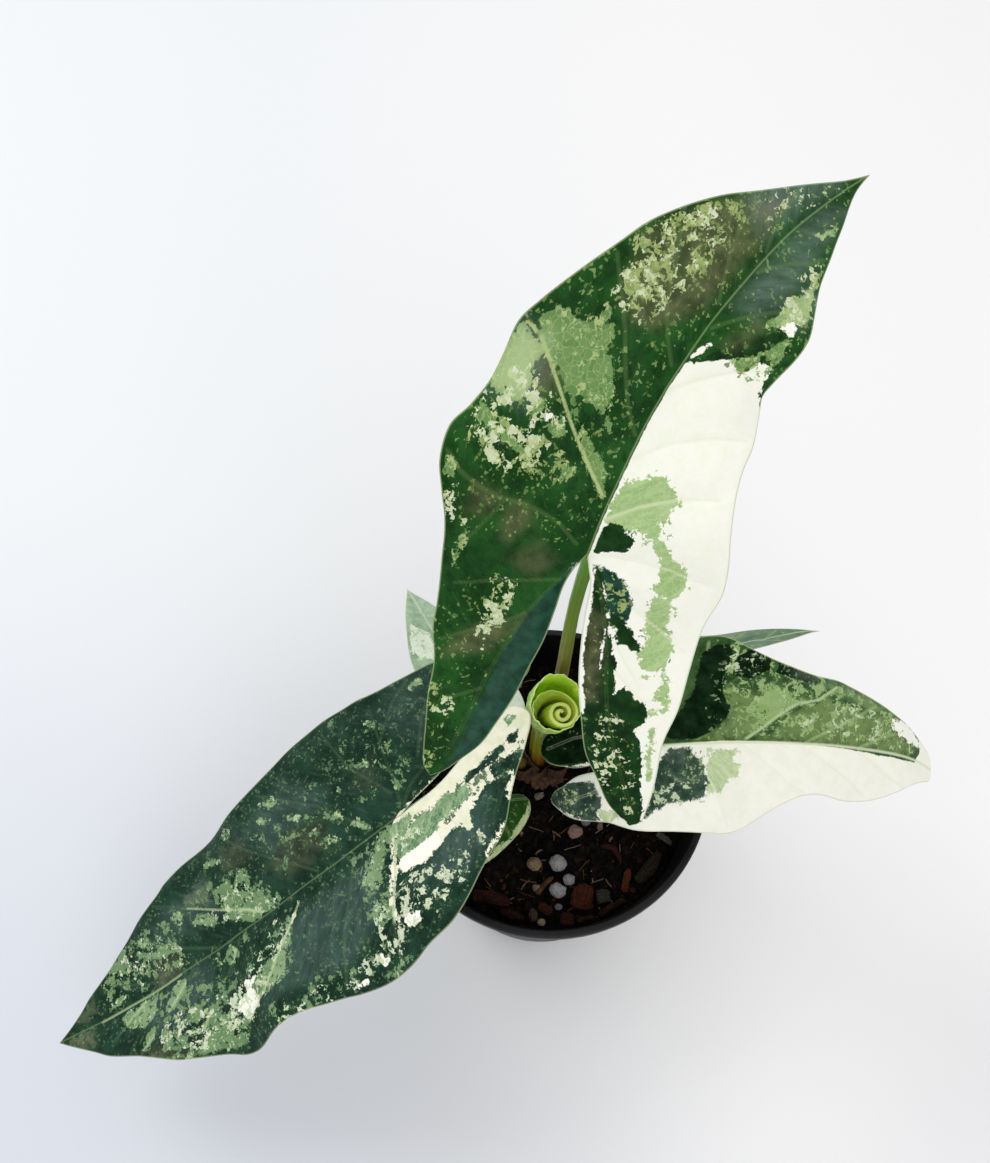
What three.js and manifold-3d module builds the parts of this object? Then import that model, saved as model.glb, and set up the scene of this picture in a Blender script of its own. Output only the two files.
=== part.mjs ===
// Potted simpo alocasia: a young variegated aroid in a 12 cm nursery pot.
// Millimetres, +Z up. The origin is the centre of the pot's flat base, and -Y is the side that faces a viewer.
import * as THREE from "three";
import { mergeVertices } from "three/addons/utils/BufferGeometryUtils.js";
import Module from "manifold-3d";

const wasm = await Module();
wasm.setup();

// ---------------------------------------------------------------- driving dimensions
const GAP = 0.35; // air between neighbouring pieces
const POT_H = 100; // height of the pot
const POT_R_TOP = 58.4; // outer radius of the wall under the rim
const POT_R_RIM = 60; // outer radius of the rolled rim
const POT_R_BASE = 41; // outer radius at the base
const POT_WALL = 1.3; // wall thickness
const POT_FLOOR = 1.8; // floor thickness
const RIM_H = 3.6; // height of the rolled rim
const DRAIN_R = 4; // radius of a drain hole
const DRAIN_RING = 29; // radius of the ring of drain holes
const DRAINS = 8;
const SOIL_TOP = 82; // highest level of the potting mix
const CORM = { x: -1.5, y: 10, r: 10.5, top: 86 }; // stem base that the leaf stems rise from
const BLADE_T = 0.9; // thickness of a leaf blade

// ---------------------------------------------------------------- leaves
// A blade is a curved sheet over a bent axis. s runs along the midrib from the point where the stem joins
// (s = 0) to the tip, and negative s runs into the basal lobes. t runs across, to the left of the way to the tip.
// join: that point. heading: direction of the tip in plan, degrees from +X. pitch: slope of the midrib at s = 0.
// bend, bend2: change of the slope per 100 mm. back: the same for the lobes. sway: change of heading per 100 mm.
// roll, twist: turn about the midrib and its change per 100 mm. hook, hookFrom: extra curl near the tip.
// fold: rise of the halves to a shallow V. crown: fall of the halves towards the margins, per 100 mm.
// waves: [side, s, length, height, half width] of the swells along the margin.
const LEAVES = {
  upper: {
    join: [5.44, 12.46, 238.39], heading: 61.4, sway: -14.6, pitch: 58.2, bend: -64.1, bend2: 11.5, back: 3.0,
    roll: 19.2, twist: 18.2, hook: 0, hookFrom: 60, fold: 0.18, soft: 5, crown: 0.35,
    waves: [[-1, 88, 13, 4.5, 24], [-1, 62, 12, -4.0, 27], [-1, 28, 16, 3.0, 34], [-1, -10, 16, -2.5, 38], [-1, -50, 18, 2.5, 38],
      [1, 86, 14, -3.5, 26], [1, 58, 13, 3.5, 38], [1, 30, 12, -3.5, 43], [1, 4, 13, 3.0, 42], [1, -28, 14, -3.0, 36], [1, -60, 16, 2.0, 33]],
    left: {
      outer: [[-85, 28], [-81.5, 30.5], [-74, 31.5], [-66, 32], [-55.5, 33], [-44.5, 33.5], [-35.5, 36], [-27, 36.5], [-12.5, 38], [1, 40],
        [7.5, 43], [13.5, 46], [20.5, 46.5], [26, 43.5], [32.5, 41.5], [38.5, 41.5], [46, 42.3], [51, 40.5], [60, 36.5], [70.5, 32],
        [79, 29], [86, 25.5], [94.5, 20.5], [103.5, 14.5], [115, 8.5], [128, 3], [135.5, 1], [141, 0]],
      inner: [[-85, 28], [-82, 24], [-76.5, 19.5], [-69.5, 14.5], [-61.5, 11.5], [-50.5, 8], [-39.5, 6], [-29.5, 4.2], [-19.5, 3.6], [-10.5, 3.4], [-5, 2.2], [0, 0]],
    },
    right: {
      outer: [[-87, -35], [-85, -38], [-79, -38.8], [-73, -39], [-64.5, -38.5], [-51.5, -37.2], [-39.5, -38.3], [-26.5, -38], [-13.5, -37.8], [-2.5, -39.2],
        [6, -38], [13.5, -36], [20.5, -33.5], [32.5, -30], [41.5, -28.5], [50.5, -28.2], [59.5, -26], [64.5, -23.6], [70, -23.5], [78, -23.5],
        [85, -22.5], [92.5, -20], [102, -16.5], [112.5, -12.5], [120, -9], [127, -5.2], [133, -2.3], [137, -1], [141, 0]],
      inner: [[-87, -35], [-82.5, -29.5], [-78.5, -26], [-72, -22], [-64, -16.5], [-52.5, -12.5], [-39, -8.5], [-29.5, -6.5], [-18, -4.6], [-8, -3.3], [-3.5, -1.5], [0, 0]],
    },
  },
  lower_left: {
    join: [-51.61, -25.92, 131.37], heading: 208.4, sway: -3.9, pitch: -27.4, bend: -23.7, bend2: 18.2, back: -8.8,
    roll: -2.5, twist: 0.9, hook: 0, hookFrom: 60, fold: 0.18, soft: 5, crown: 0.35,
    waves: [[1, 96, 13, -4.5, 38], [1, 72, 12, 4.0, 36], [1, 38, 15, -3.0, 43], [1, 8, 14, 3.0, 42], [1, 126, 14, 3.0, 25],
      [-1, 140, 14, -2.5, 17], [-1, 112, 13, 3.0, 30], [-1, 84, 13, -3.5, 35], [-1, 54, 14, 3.0, 41], [-1, 20, 15, -3.0, 45], [-1, -14, 14, 2.5, 41]],
    left: {
      outer: [[-55, -6], [-56.5, -2.5], [-55, 0.5], [-51.5, 3.8], [-47.5, 7.5], [-43.5, 10.8], [-39, 15], [-36, 18], [-31, 23], [-26.5, 26],
        [-20.5, 28.8], [-14.5, 32], [-9, 35.3], [-3, 38.3], [1.5, 40], [11, 41.7], [16.5, 43.2], [22, 44], [32.5, 44], [43, 42],
        [49.5, 40], [56, 38.3], [62.5, 36.6], [68.5, 36], [75.5, 36.5], [84, 37.6], [92, 38], [97, 37], [102.5, 34], [111.5, 30.5],
        [119.5, 27.5], [127, 23.5], [136, 19], [150, 13], [155, 9.5], [161, 5.5], [165.5, 2.5], [169, 0]],
      inner: [[-55, -6], [-52, -8], [-46, -8], [-38, -6], [-32, -4.4], [-25.5, -3], [-18.5, -1.4], [-12, -0.5], [-6, -0.3], [0, 0]],
    },
    right: {
      outer: [[-68, -17], [-66, -22], [-60, -27.5], [-53, -31.5], [-45, -34.5], [-37.5, -37], [-31, -38], [-24.5, -38.7], [-16.5, -39.8], [-11.5, -41],
        [-6.5, -42.5], [1, -43.7], [12, -45.5], [23, -46], [29.5, -45], [35.5, -43.2], [43, -41.4], [52, -39.9], [66, -38.2], [75.5, -37.5],
        [86, -36.5], [92.5, -35.5], [98.5, -33.7], [103.5, -32], [107.5, -30], [113.5, -28], [123, -25.5], [132, -22.5], [137.5, -19.5], [141, -17],
        [147, -13.2], [153, -10], [157.5, -6.7], [164, -2.6], [169, 0]],
      inner: [[-68, -17], [-64, -13.5], [-56, -11.8], [-46, -10.3], [-36, -8], [-26, -5.3], [-16, -3.2], [-8, -1.8], [0, 0]],
    },
  },
  right: {
    join: [37.62, -5.05, 141.79], heading: -3.6, sway: 8.8, pitch: 21.5, bend: -65.5, bend2: 0, back: -20.8,
    roll: 22.6, twist: -5.1, hook: 14, hookFrom: 78, fold: 0.12, soft: 5, crown: 0.45,
    waves: [[1, 30, 13, 3.0, 34], [1, 58, 12, -2.5, 24], [1, 84, 12, 2.0, 16], [-1, 46, 11, 3.5, 19], [-1, 18, 12, -3.0, 31],
      [-1, -12, 12, 2.5, 28], [-1, 76, 13, -2.5, 17], [1, 2, 12, -2.5, 33]],
    left: {
      outer: [[-46, 1], [-45.5, 4], [-43.5, 6.8], [-40, 8.8], [-34, 11.5], [-27, 17], [-19, 23.5], [-10, 29], [0, 33], [8, 35],
        [15, 36], [20, 36], [23.5, 35], [30, 31], [34.5, 28.7], [38.5, 27], [48, 24.2], [53, 23.2], [61, 22.3], [65.5, 20.5],
        [75, 16.5], [83.5, 13], [90, 11], [96, 9.3], [101.5, 7], [107, 4.5], [112, 2], [118, 0]],
      inner: [[-46, 1], [-44, -2.3], [-41, -3.8], [-37, -4.6], [-32.5, -5.4], [-24, -4.6], [-15, -3.2], [-7, -1.6], [0, 0]],
    },
    right: {
      outer: [[-43.5, -15.5], [-43, -17], [-41, -19], [-38, -21.5], [-34, -23.2], [-28, -24], [-22, -24.7], [-18, -26], [-13.5, -27.3], [-9, -28],
        [-2, -28.5], [5.5, -29.2], [13.5, -30], [18.5, -30.3], [23.5, -29.3], [27, -27.5], [31.5, -24.5], [38.5, -20.2], [44.5, -17.4], [50, -16.6],
        [54.5, -17], [60.5, -18], [67, -18], [75, -17], [81.5, -15], [87.5, -12.5], [93.5, -9.7], [100, -6.5], [106, -4], [112, -1.8], [118, 0]],
      inner: [[-43.5, -15.5], [-41.5, -13], [-37.5, -11], [-32.5, -8.3], [-24, -6.8], [-15, -4.6], [-7, -2.3], [0, 0]],
    },
  },
  back_right: {
    join: [22.1, 29.7, 109.2], heading: 5.8, sway: 0, pitch: 50.2, bend: -59.1, bend2: 0, back: 60,
    roll: -42.5, twist: 0, hook: 0, hookFrom: 60, fold: 0.15, soft: 4, crown: 0.4,
    waves: [[1, 20, 10, 2.5, 22], [1, 50, 10, -2.5, 18], [-1, 30, 10, -2.5, 21], [-1, 60, 10, 2.0, 15]],
    form: "arrow", length: 84.6, wide: 0.88, lobes: 0.24,
  },
  back_left: {
    join: [-25.1, 15.8, 123.5], heading: 114.9, sway: 0, pitch: -20, bend: -6.4, bend2: 0, back: -10,
    roll: 13, twist: 0, hook: 0, hookFrom: 60, fold: 0.15, soft: 4, crown: 0.4,
    waves: [[1, 15, 9, 2.0, 17], [1, 40, 9, -2.0, 14], [-1, 24, 9, -2.0, 16], [-1, 50, 9, 2.0, 12]],
    form: "arrow", length: 79.5, wide: 0.8, lobes: 0.3,
  },
  small_low: {
    join: [-18.8, -12.5, 105.0], heading: 232, sway: 0, pitch: 8, bend: -30, bend2: 0, back: -10,
    roll: 4, twist: 0, hook: 0, hookFrom: 60, fold: 0.15, soft: 3, crown: 0.5,
    waves: [[1, 10, 6, 1.0, 13], [-1, 16, 6, -1.0, 13]],
    form: "heart", length: 44, wide: 1, lobes: 1,
  },
};

// Plain outlines for the leaves that mostly hide, in hundredths of the length from the join to the tip.
const FORMS = {
  arrow: {
    outer: [[-52, 7.5], [-50, 10.5], [-45, 14], [-35, 18.5], [-25, 21.5], [-15, 24], [-5, 26], [5, 27], [15, 26.5], [30, 24.5],
      [45, 21.5], [60, 17], [75, 11.5], [85, 7], [93, 3], [97, 1], [100, 0]],
    inner: [[-52, 7.5], [-50, 6], [-42, 4.4], [-32, 3.2], [-20, 2.2], [-10, 1.3], [0, 0]],
  },
  heart: {
    outer: [[-18, 14], [-17, 20], [-10, 27], [0, 30.5], [12, 32], [24, 31.5], [38, 29], [52, 24.5], [66, 18.5], [80, 11.5], [92, 4.5], [97, 1.5], [100, 0]],
    inner: [[-18, 14], [-16, 9.5], [-11, 5], [-5, 2], [0, 0]],
  },
};

// Stems (petioles): control points of the axis from the base to just under the blade, and radii at both ends.
const STEMS = {
  upper: { axis: [[0.6, 15.6, 86.8], [1.6, 18.4, 108], [3.6, 19.8, 150], [4.6, 18.2, 196], [6.6, 14.9, 236.4]], r: [2.9, 2.4, 2.2, 2.0, 1.9] },
  lower_left: { axis: [[-9.6, 5.6, 86.9], [-11.2, 4.6, 102], [-18, -0.8, 118.5], [-33, -13, 127.5], [-50.2, -25.2, 128.6]], r: [2.7, 2.4, 2.2, 2.0, 1.9] },
  right: { axis: [[3.7, 6.0, 86.9], [5.0, 5.6, 100], [10.5, 3.4, 115], [23, -0.6, 128.5], [38.4, -3.9, 138.6]], r: [2.7, 2.3, 2.1, 1.9, 1.8] },
  back_right: { axis: [[6.5, 12.6, 87.4], [9.6, 15.4, 95], [16.2, 21.2, 101.6], [24.3, 27.6, 107.2]], r: [2.4, 2.0, 1.8, 1.6] },
  back_left: { axis: [[-6.2, 14.6, 86.8], [-7.4, 16, 102], [-12.5, 17.2, 116], [-23.6, 16.2, 120.4]], r: [2.4, 2.1, 1.8, 1.6] },
  small_low: { axis: [[-15.2, 4.2, 82.4], [-15.8, 0, 92], [-17.2, -6.5, 99.6], [-18.9, -11.9, 102.6]], r: [1.7, 1.5, 1.3, 1.1] },
};

// The new leaf, still rolled: its stem and the roll above it, as rings [x, y, z, radius] along a leaning axis.
const NEW_STEM = { axis: [[-3.3, 8.0, 86.4], [-3.6, 8.2, 100], [-3.5, 8.3, 114], [-3.1, 8.1, 127.0]], r: [3.3, 3.0, 2.9, 3.0] };
const ROLL = [[-3.0, 8.05, 127.6, 2.9], [-2.6, 7.9, 132, 3.9], [-2.0, 7.4, 138, 5.6], [-1.2, 6.6, 144, 7.4], [-0.2, 5.4, 150, 8.6], [0.5, 4.6, 154, 9.0], [0.9, 4.1, 156.6, 8.6]];

// Bark chips and twigs: centre [x, y], lift over the mix, length, width, thickness, turn and tilt in degrees, sideways curl.
const BARK = [
  [12.6, -41.9, 0.4, 9, 7.2, 3.0, 78, 5, 0.3], [-21, -42.5, 0.4, 14, 4.2, 2.6, -13, 4, 0.6], [-13.5, -48.3, 0.4, 9, 2.8, 2.2, -17, 3, 0],
  [6.6, -50.0, 0.4, 4.6, 4.4, 2.4, 88, 4, 0], [-1.2, -46.2, 0.4, 5.6, 3.2, 2.2, -34, 5, 0], [-1.2, -37.6, 0.4, 8.4, 1.8, 1.6, 46, 6, 0.5],
  [29.0, -36.0, 0.4, 8.4, 2.6, 2.2, 77, 14, 0.2], [24.6, -25.4, 0.4, 9.6, 2.2, 2.4, -45, 4, 2.2], [37.6, -31.2, 0.4, 14, 4.4, 3.0, 50, 5, -0.6],
  [23.0, -45.6, 0.4, 11, 2.2, 2.0, 30, 4, 0.4], [13.2, -49.6, 0.4, 6.4, 1.6, 1.4, 17, 3, 0], [44.2, -20.0, 0.4, 6.6, 2.2, 2.0, -40, 5, 0.3],
  [20.2, -41.6, 0.4, 5.0, 4.6, 2.6, 8, 5, 0], [-5.6, -48.4, 0.4, 4.6, 2.8, 2.2, 103, 6, 0],
  [32, -2, 0.4, 13, 5.5, 2.8, -30, 5, 0.5], [0, 34, 0.4, 15, 6, 3.0, 24, 5, 0.6], [-32, 20, 0.4, 16, 5.5, 2.8, -48, 4, -0.5], [24, 41, 0.4, 13, 5, 2.6, 158, 5, 0],
];
// Perlite and pumice grains: centre [x, y] and radius.
const GRAINS = [[4.0, -29.8, 3.2], [3.3, -39.9, 2.9], [7.7, -35.6, 2.2], [3.6, -45.4, 1.3], [-2.6, -51.0, 1.4], [10.3, -17.8, 2.7],
  [-4.9, -29.8, 2.6], [14.9, -13.6, 1.8], [-30, -4, 2.2], [-11, 43, 2.4], [42, 10, 2.1]];

// ---------------------------------------------------------------- helpers
const rad = THREE.MathUtils.degToRad;

function smoothLine(points, n) {
  const curve = new THREE.CatmullRomCurve3(points.map(([x, y]) => new THREE.Vector3(x, y, 0)), false, "centripetal");
  return curve.getSpacedPoints(n);
}

function outlineOf(leaf, side) {
  if (!leaf.form) return side > 0 ? leaf.left : leaf.right;
  const scale = ([s, t]) => [(s * leaf.length * (s < 0 ? leaf.lobes / (leaf.form === "arrow" ? 0.52 : 1) : 1)) / 100, (side * t * leaf.length * leaf.wide) / 100];
  return { outer: FORMS[leaf.form].outer.map(scale), inner: FORMS[leaf.form].inner.map(scale) };
}

// Position of the sheet's middle at (s, t), moved by lift along the sheet's upward normal.
function sheet(leaf) {
  const STEP = 1, LOW = -100, HIGH = 180;
  const frames = [];
  const at = (s) => {
    const back = s < 0;
    const pitch = rad(back ? leaf.pitch + (leaf.back * s) / 100
      : leaf.pitch + (leaf.bend * s) / 100 + leaf.bend2 * (s / 100) ** 2 - leaf.hook * Math.max(0, (s - leaf.hookFrom) / 50) ** 2);
    const head = rad(leaf.heading + (leaf.sway * s) / 100), turn = rad(leaf.roll + (leaf.twist * s) / 100);
    const T = new THREE.Vector3(Math.cos(pitch) * Math.cos(head), Math.cos(pitch) * Math.sin(head), Math.sin(pitch));
    const N0 = new THREE.Vector3(-Math.sin(pitch) * Math.cos(head), -Math.sin(pitch) * Math.sin(head), Math.cos(pitch));
    const B0 = new THREE.Vector3().crossVectors(N0, T);
    const B = B0.clone().multiplyScalar(Math.cos(turn)).addScaledVector(N0, Math.sin(turn));
    const N = N0.clone().multiplyScalar(Math.cos(turn)).addScaledVector(B0, -Math.sin(turn));
    return { T, B, N, M: new THREE.Vector3() };
  };
  for (let s = LOW; s <= HIGH; s += STEP) frames.push(at(s));
  const zero = (0 - LOW) / STEP;
  frames[zero].M.set(...leaf.join);
  for (let i = zero + 1; i < frames.length; i++)
    frames[i].M.copy(frames[i - 1].M).addScaledVector(frames[i - 1].T.clone().add(frames[i].T), STEP / 2);
  for (let i = zero - 1; i >= 0; i--)
    frames[i].M.copy(frames[i + 1].M).addScaledVector(frames[i + 1].T.clone().add(frames[i].T), -STEP / 2);
  return (s, t, lift = 0) => {
    const x = THREE.MathUtils.clamp((s - LOW) / STEP, 0, frames.length - 1.001), i = Math.floor(x), f = x - i;
    const mix = (k) => frames[i][k].clone().lerp(frames[i + 1][k], f);
    let h = leaf.fold * (Math.sqrt(t * t + leaf.soft * leaf.soft) - leaf.soft) - (leaf.crown * t * t) / 100;
    for (const [side, s0, len, height, half] of leaf.waves)
      if (Math.sign(t) === side) h += height * Math.exp(-(((s - s0) / len) ** 2)) * Math.min(Math.abs(t) / half, 2) ** 2;
    return mix("M").addScaledVector(mix("B"), t).addScaledVector(mix("N"), h + lift);
  };
}

function solid(positions, faces) {
  const g = new THREE.BufferGeometry();
  g.setAttribute("position", new THREE.Float32BufferAttribute(positions, 3));
  g.setIndex(faces);
  return g;
}

// A blade: two halves ruled between the inner line (lobe tip, join, midrib, tip) and the margin, top and underside meeting at the margin.
function bladeGeometry(leaf, rows, cols) {
  const place = sheet(leaf);
  const positions = [], faces = [], seen = new Map();
  const vertex = (s, t, lift) => {
    const p = place(s, t, lift);
    const key = [p.x, p.y, p.z].map((v) => v.toFixed(3)).join();
    if (!seen.has(key)) {
      seen.set(key, positions.length / 3);
      positions.push(p.x, p.y, p.z);
    }
    return seen.get(key);
  };
  // both halves share the same rows on the midrib
  const lobe = outlineOf(leaf, 1).inner[0], reach = outlineOf(leaf, 1).outer.at(-1)[0];
  const nIn = Math.max(3, Math.round((rows * Math.hypot(...lobe)) / (Math.hypot(...lobe) + reach)));
  for (const side of [1, -1]) {
    const { outer, inner } = outlineOf(leaf, side);
    const length = outer[outer.length - 1][0];
    const sinus = smoothLine(inner, nIn), margin = smoothLine(outer, rows);
    const at = (k, j) => {
      const rib = k <= nIn ? sinus[k] : new THREE.Vector3((length * (k - nIn)) / (rows - nIn), 0, 0);
      return rib.clone().lerp(margin[k], j / cols);
    };
    const edge = (k, j) => k === 0 || k === rows || j === cols || (j === 0 && k <= nIn);
    const id = (k, j, up) => {
      const p = at(k, j);
      return vertex(p.x, p.y, edge(k, j) ? 0 : (up * BLADE_T) / 2);
    };
    for (let k = 0; k < rows; k++)
      for (let j = 0; j < cols; j++)
        for (const up of [1, -1]) {
          const quad = [id(k, j, up), id(k + 1, j, up), id(k + 1, j + 1, up), id(k, j + 1, up)];
          const tris = [[quad[0], quad[1], quad[2]], [quad[0], quad[2], quad[3]]];
          for (const tri of tris) {
            if (new Set(tri).size < 3) continue;
            faces.push(...(side * up > 0 ? tri : [tri[0], tri[2], tri[1]]));
          }
        }
  }
  return solid(positions, faces);
}

// A round stem of changing thickness along a curve, with flat ends.
function stemGeometry({ axis, r }, steps, sides) {
  const curve = new THREE.CatmullRomCurve3(axis.map((p) => new THREE.Vector3(...p)), false, "centripetal");
  const frames = curve.computeFrenetFrames(steps, false);
  const positions = [], faces = [];
  for (let i = 0; i <= steps; i++) {
    const u = i / steps, p = curve.getPointAt(u), x = u * (r.length - 1), k = Math.min(Math.floor(x), r.length - 2);
    const radius = r[k] + (r[k + 1] - r[k]) * (x - k);
    for (let j = 0; j < sides; j++) {
      const a = (2 * Math.PI * j) / sides;
      const q = p.clone().addScaledVector(frames.normals[i], radius * Math.cos(a)).addScaledVector(frames.binormals[i], radius * Math.sin(a));
      positions.push(q.x, q.y, q.z);
    }
  }
  const base = positions.length / 3;
  for (const u of [0, 1]) positions.push(...curve.getPointAt(u).toArray());
  for (let j = 0; j < sides; j++) {
    const n = (j + 1) % sides, last = steps * sides;
    for (let i = 0; i < steps; i++) {
      const a = i * sides + j, b = i * sides + n, c = a + sides, d = b + sides;
      faces.push(a, b, d, a, d, c);
    }
    faces.push(base, n, j, base + 1, last + j, last + n);
  }
  return solid(positions, faces);
}

// The rolled leaf: rings round a leaning axis, closed at the foot, with a dished mouth.
function rollGeometry(rings, sides) {
  const positions = [], faces = [];
  const axisAt = (i) => {
    const a = rings[Math.max(0, i - 1)], b = rings[Math.min(rings.length - 1, i + 1)];
    return new THREE.Vector3(b[0] - a[0], b[1] - a[1], b[2] - a[2]).normalize();
  };
  rings.forEach(([x, y, z, r], i) => {
    const n = axisAt(i), e1 = new THREE.Vector3(1, 0, 0).addScaledVector(n, -n.x).normalize(), e2 = new THREE.Vector3().crossVectors(n, e1);
    for (let j = 0; j < sides; j++) {
      const a = (2 * Math.PI * j) / sides;
      const q = new THREE.Vector3(x, y, z).addScaledVector(e1, r * Math.cos(a)).addScaledVector(e2, r * Math.sin(a));
      positions.push(q.x, q.y, q.z);
    }
  });
  const last = rings.length - 1, foot = positions.length / 3, top = axisAt(last);
  positions.push(rings[0][0], rings[0][1], rings[0][2]);
  positions.push(rings[last][0] - 3 * top.x, rings[last][1] - 3 * top.y, rings[last][2] - 3 * top.z);
  for (let j = 0; j < sides; j++) {
    const n = (j + 1) % sides;
    for (let i = 0; i < last; i++) {
      const a = i * sides + j, b = i * sides + n, c = a + sides, d = b + sides;
      faces.push(a, b, d, a, d, c);
    }
    faces.push(foot, n, j, foot + 1, last * sides + j, last * sides + n);
  }
  return solid(positions, faces);
}

function manifoldOf(geometry) {
  const g = geometry.clone();
  for (const name of ["normal", "uv"]) if (g.getAttribute(name)) g.deleteAttribute(name);
  const merged = mergeVertices(g, 1e-4);
  return new wasm.Manifold(new wasm.Mesh({ numProp: 3, vertProperties: merged.attributes.position.array, triVerts: new Uint32Array(merged.index.array) }));
}

function geometryOf(manifold) {
  const m = manifold.getMesh();
  return solid(Array.from(m.vertProperties), Array.from(m.triVerts));
}

function material(color, roughness, metalness = 0) {
  return new THREE.MeshStandardMaterial({ color, roughness, metalness });
}

const plant = new THREE.Group();
function add(name, geometry, mat, parent = plant) {
  const mesh = new THREE.Mesh(geometry, mat);
  mesh.name = name;
  parent.add(mesh);
  return mesh;
}

// ---------------------------------------------------------------- pot
const wallAt = (z) => POT_R_BASE + ((POT_R_TOP - POT_R_BASE) * z) / POT_H; // outer radius of the tapered wall
const insideAt = (z) => wallAt(z) - POT_WALL;
function lathe(profile, segments) {
  const g = new THREE.LatheGeometry(profile.map(([r, z]) => new THREE.Vector2(r, z)), segments);
  g.rotateX(Math.PI / 2);
  return g;
}
{
  const body = manifoldOf(lathe([
    [0, 0], [POT_R_BASE - 1.2, 0], [wallAt(1.2), 1.2], [wallAt(40), 40], [wallAt(POT_H - RIM_H), POT_H - RIM_H],
    [POT_R_RIM, POT_H - RIM_H + 0.4], [POT_R_RIM, POT_H - 0.5], [POT_R_RIM - 0.6, POT_H], [insideAt(POT_H) + 0.5, POT_H],
    [insideAt(POT_H), POT_H - 0.6], [insideAt(40), 40], [insideAt(POT_FLOOR + 1.5), POT_FLOOR + 1.5], [insideAt(POT_FLOOR) - 1.5, POT_FLOOR], [0, POT_FLOOR],
  ], 64));
  let pot = body;
  for (let i = 0; i < DRAINS; i++) {
    const hole = new THREE.CylinderGeometry(DRAIN_R, DRAIN_R, 12, 16);
    hole.rotateX(Math.PI / 2);
    const a = (2 * Math.PI * (i + 0.5)) / DRAINS;
    hole.translate(DRAIN_RING * Math.cos(a), DRAIN_RING * Math.sin(a), 0);
    pot = pot.subtract(manifoldOf(hole));
  }
  add("nursery_pot", geometryOf(pot), material(0x0b0b0c, 0.38));
}

// ---------------------------------------------------------------- potting mix
{
  const SEG = 48, RINGS = 9, positions = [], faces = [];
  const top = (r, a) => {
    const x = r * Math.cos(a), y = r * Math.sin(a);
    return SOIL_TOP - 0.7 + 0.35 * Math.sin(0.21 * x + 1.3) * Math.cos(0.17 * y) + 0.35 * Math.sin(0.43 * x - 0.31 * y);
  };
  const rTop = insideAt(SOIL_TOP - 1) - GAP;
  const centre = positions.length / 3;
  positions.push(0, 0, top(0, 0));
  const ring = [];
  for (let k = 1; k <= RINGS; k++) {
    ring.push(positions.length / 3);
    for (let j = 0; j < SEG; j++) {
      const a = (2 * Math.PI * j) / SEG, r = (rTop * k) / RINGS;
      positions.push(r * Math.cos(a), r * Math.sin(a), top(r, a));
    }
  }
  for (const z of [40, POT_FLOOR + 1.8, POT_FLOOR + GAP]) {
    ring.push(positions.length / 3);
    const r = insideAt(z) - GAP - (z < POT_FLOOR + 1 ? 1.8 : 0.1);
    for (let j = 0; j < SEG; j++) {
      const a = (2 * Math.PI * j) / SEG;
      positions.push(r * Math.cos(a), r * Math.sin(a), z);
    }
  }
  const bottom = positions.length / 3;
  positions.push(0, 0, POT_FLOOR + GAP);
  for (let j = 0; j < SEG; j++) {
    const n = (j + 1) % SEG;
    faces.push(centre, ring[0] + j, ring[0] + n);
    for (let k = 0; k < ring.length - 1; k++) {
      const a = ring[k] + j, b = ring[k] + n, c = ring[k + 1] + j, d = ring[k + 1] + n;
      faces.push(a, c, d, a, d, b);
    }
    faces.push(bottom, ring[ring.length - 1] + n, ring[ring.length - 1] + j);
  }
  add("potting_mix", solid(positions, faces), material(0x17100c, 0.95));
}

// ---------------------------------------------------------------- stem base
{
  const base = lathe([[0, SOIL_TOP + GAP], [CORM.r - 1.2, SOIL_TOP + GAP], [CORM.r, SOIL_TOP + 1.6], [CORM.r - 0.6, CORM.top - 0.7], [CORM.r - 1.6, CORM.top], [0, CORM.top]], 24);
  base.translate(CORM.x, CORM.y, 0);
  add("stem_base", geometryOf(manifoldOf(base)), material(0x4a3320, 0.85));
}

// ---------------------------------------------------------------- leaves, each a blade on its stem
const GREEN = { upper: 0x1f4a27, lower_left: 0x1d4038, right: 0x2c4a2c, back_right: 0x4f6b55, back_left: 0x6f8f78, small_low: 0x3f6b3a };
const ROWS = { upper: 30, lower_left: 32, right: 28, back_right: 20, back_left: 20, small_low: 14 };
for (const [name, leaf] of Object.entries(LEAVES)) {
  const group = new THREE.Group();
  plant.add(group);
  add(name + "_leaf_blade", bladeGeometry(leaf, ROWS[name], name === "small_low" ? 3 : 5), material(GREEN[name], 0.42), group);
  add(name + "_leaf_stem", stemGeometry(STEMS[name], name === "upper" ? 16 : 12, 10), material(0x6d8f35, 0.5), group);
}
add("new_leaf_stem", stemGeometry(NEW_STEM, 8, 12), material(0x7d9a34, 0.5));
add("new_leaf_roll", rollGeometry(ROLL, 20), material(0x9cc534, 0.45));

// ---------------------------------------------------------------- bark chips and grains on the mix
BARK.forEach(([x, y, lift, length, width, thick, turn, tilt, curl], i) => {
  const g = new THREE.BoxGeometry(length, width, thick, 6, 1, 1), p = g.getAttribute("position");
  for (let k = 0; k < p.count; k++) {
    const u = p.getX(k) / (length / 2), end = Math.abs(u) > 0.9 ? 0.6 : 1;
    p.setY(k, p.getY(k) * end * (1 - 0.1 * u + 0.06 * Math.sin(5 * u + i)) + curl * (0.5 - u * u));
    p.setZ(k, p.getZ(k) * (end < 1 ? 0.7 : 1));
  }
  const chip = add("bark_chip_" + (i + 1), g, material(0x3a2014, 0.9));
  chip.rotation.set(0, -rad(tilt), rad(turn), "ZYX");
  const rise = (length / 2) * Math.sin(rad(tilt)) + (thick / 2) * Math.cos(rad(tilt));
  chip.position.set(x, y, SOIL_TOP + lift + rise);
});
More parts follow.
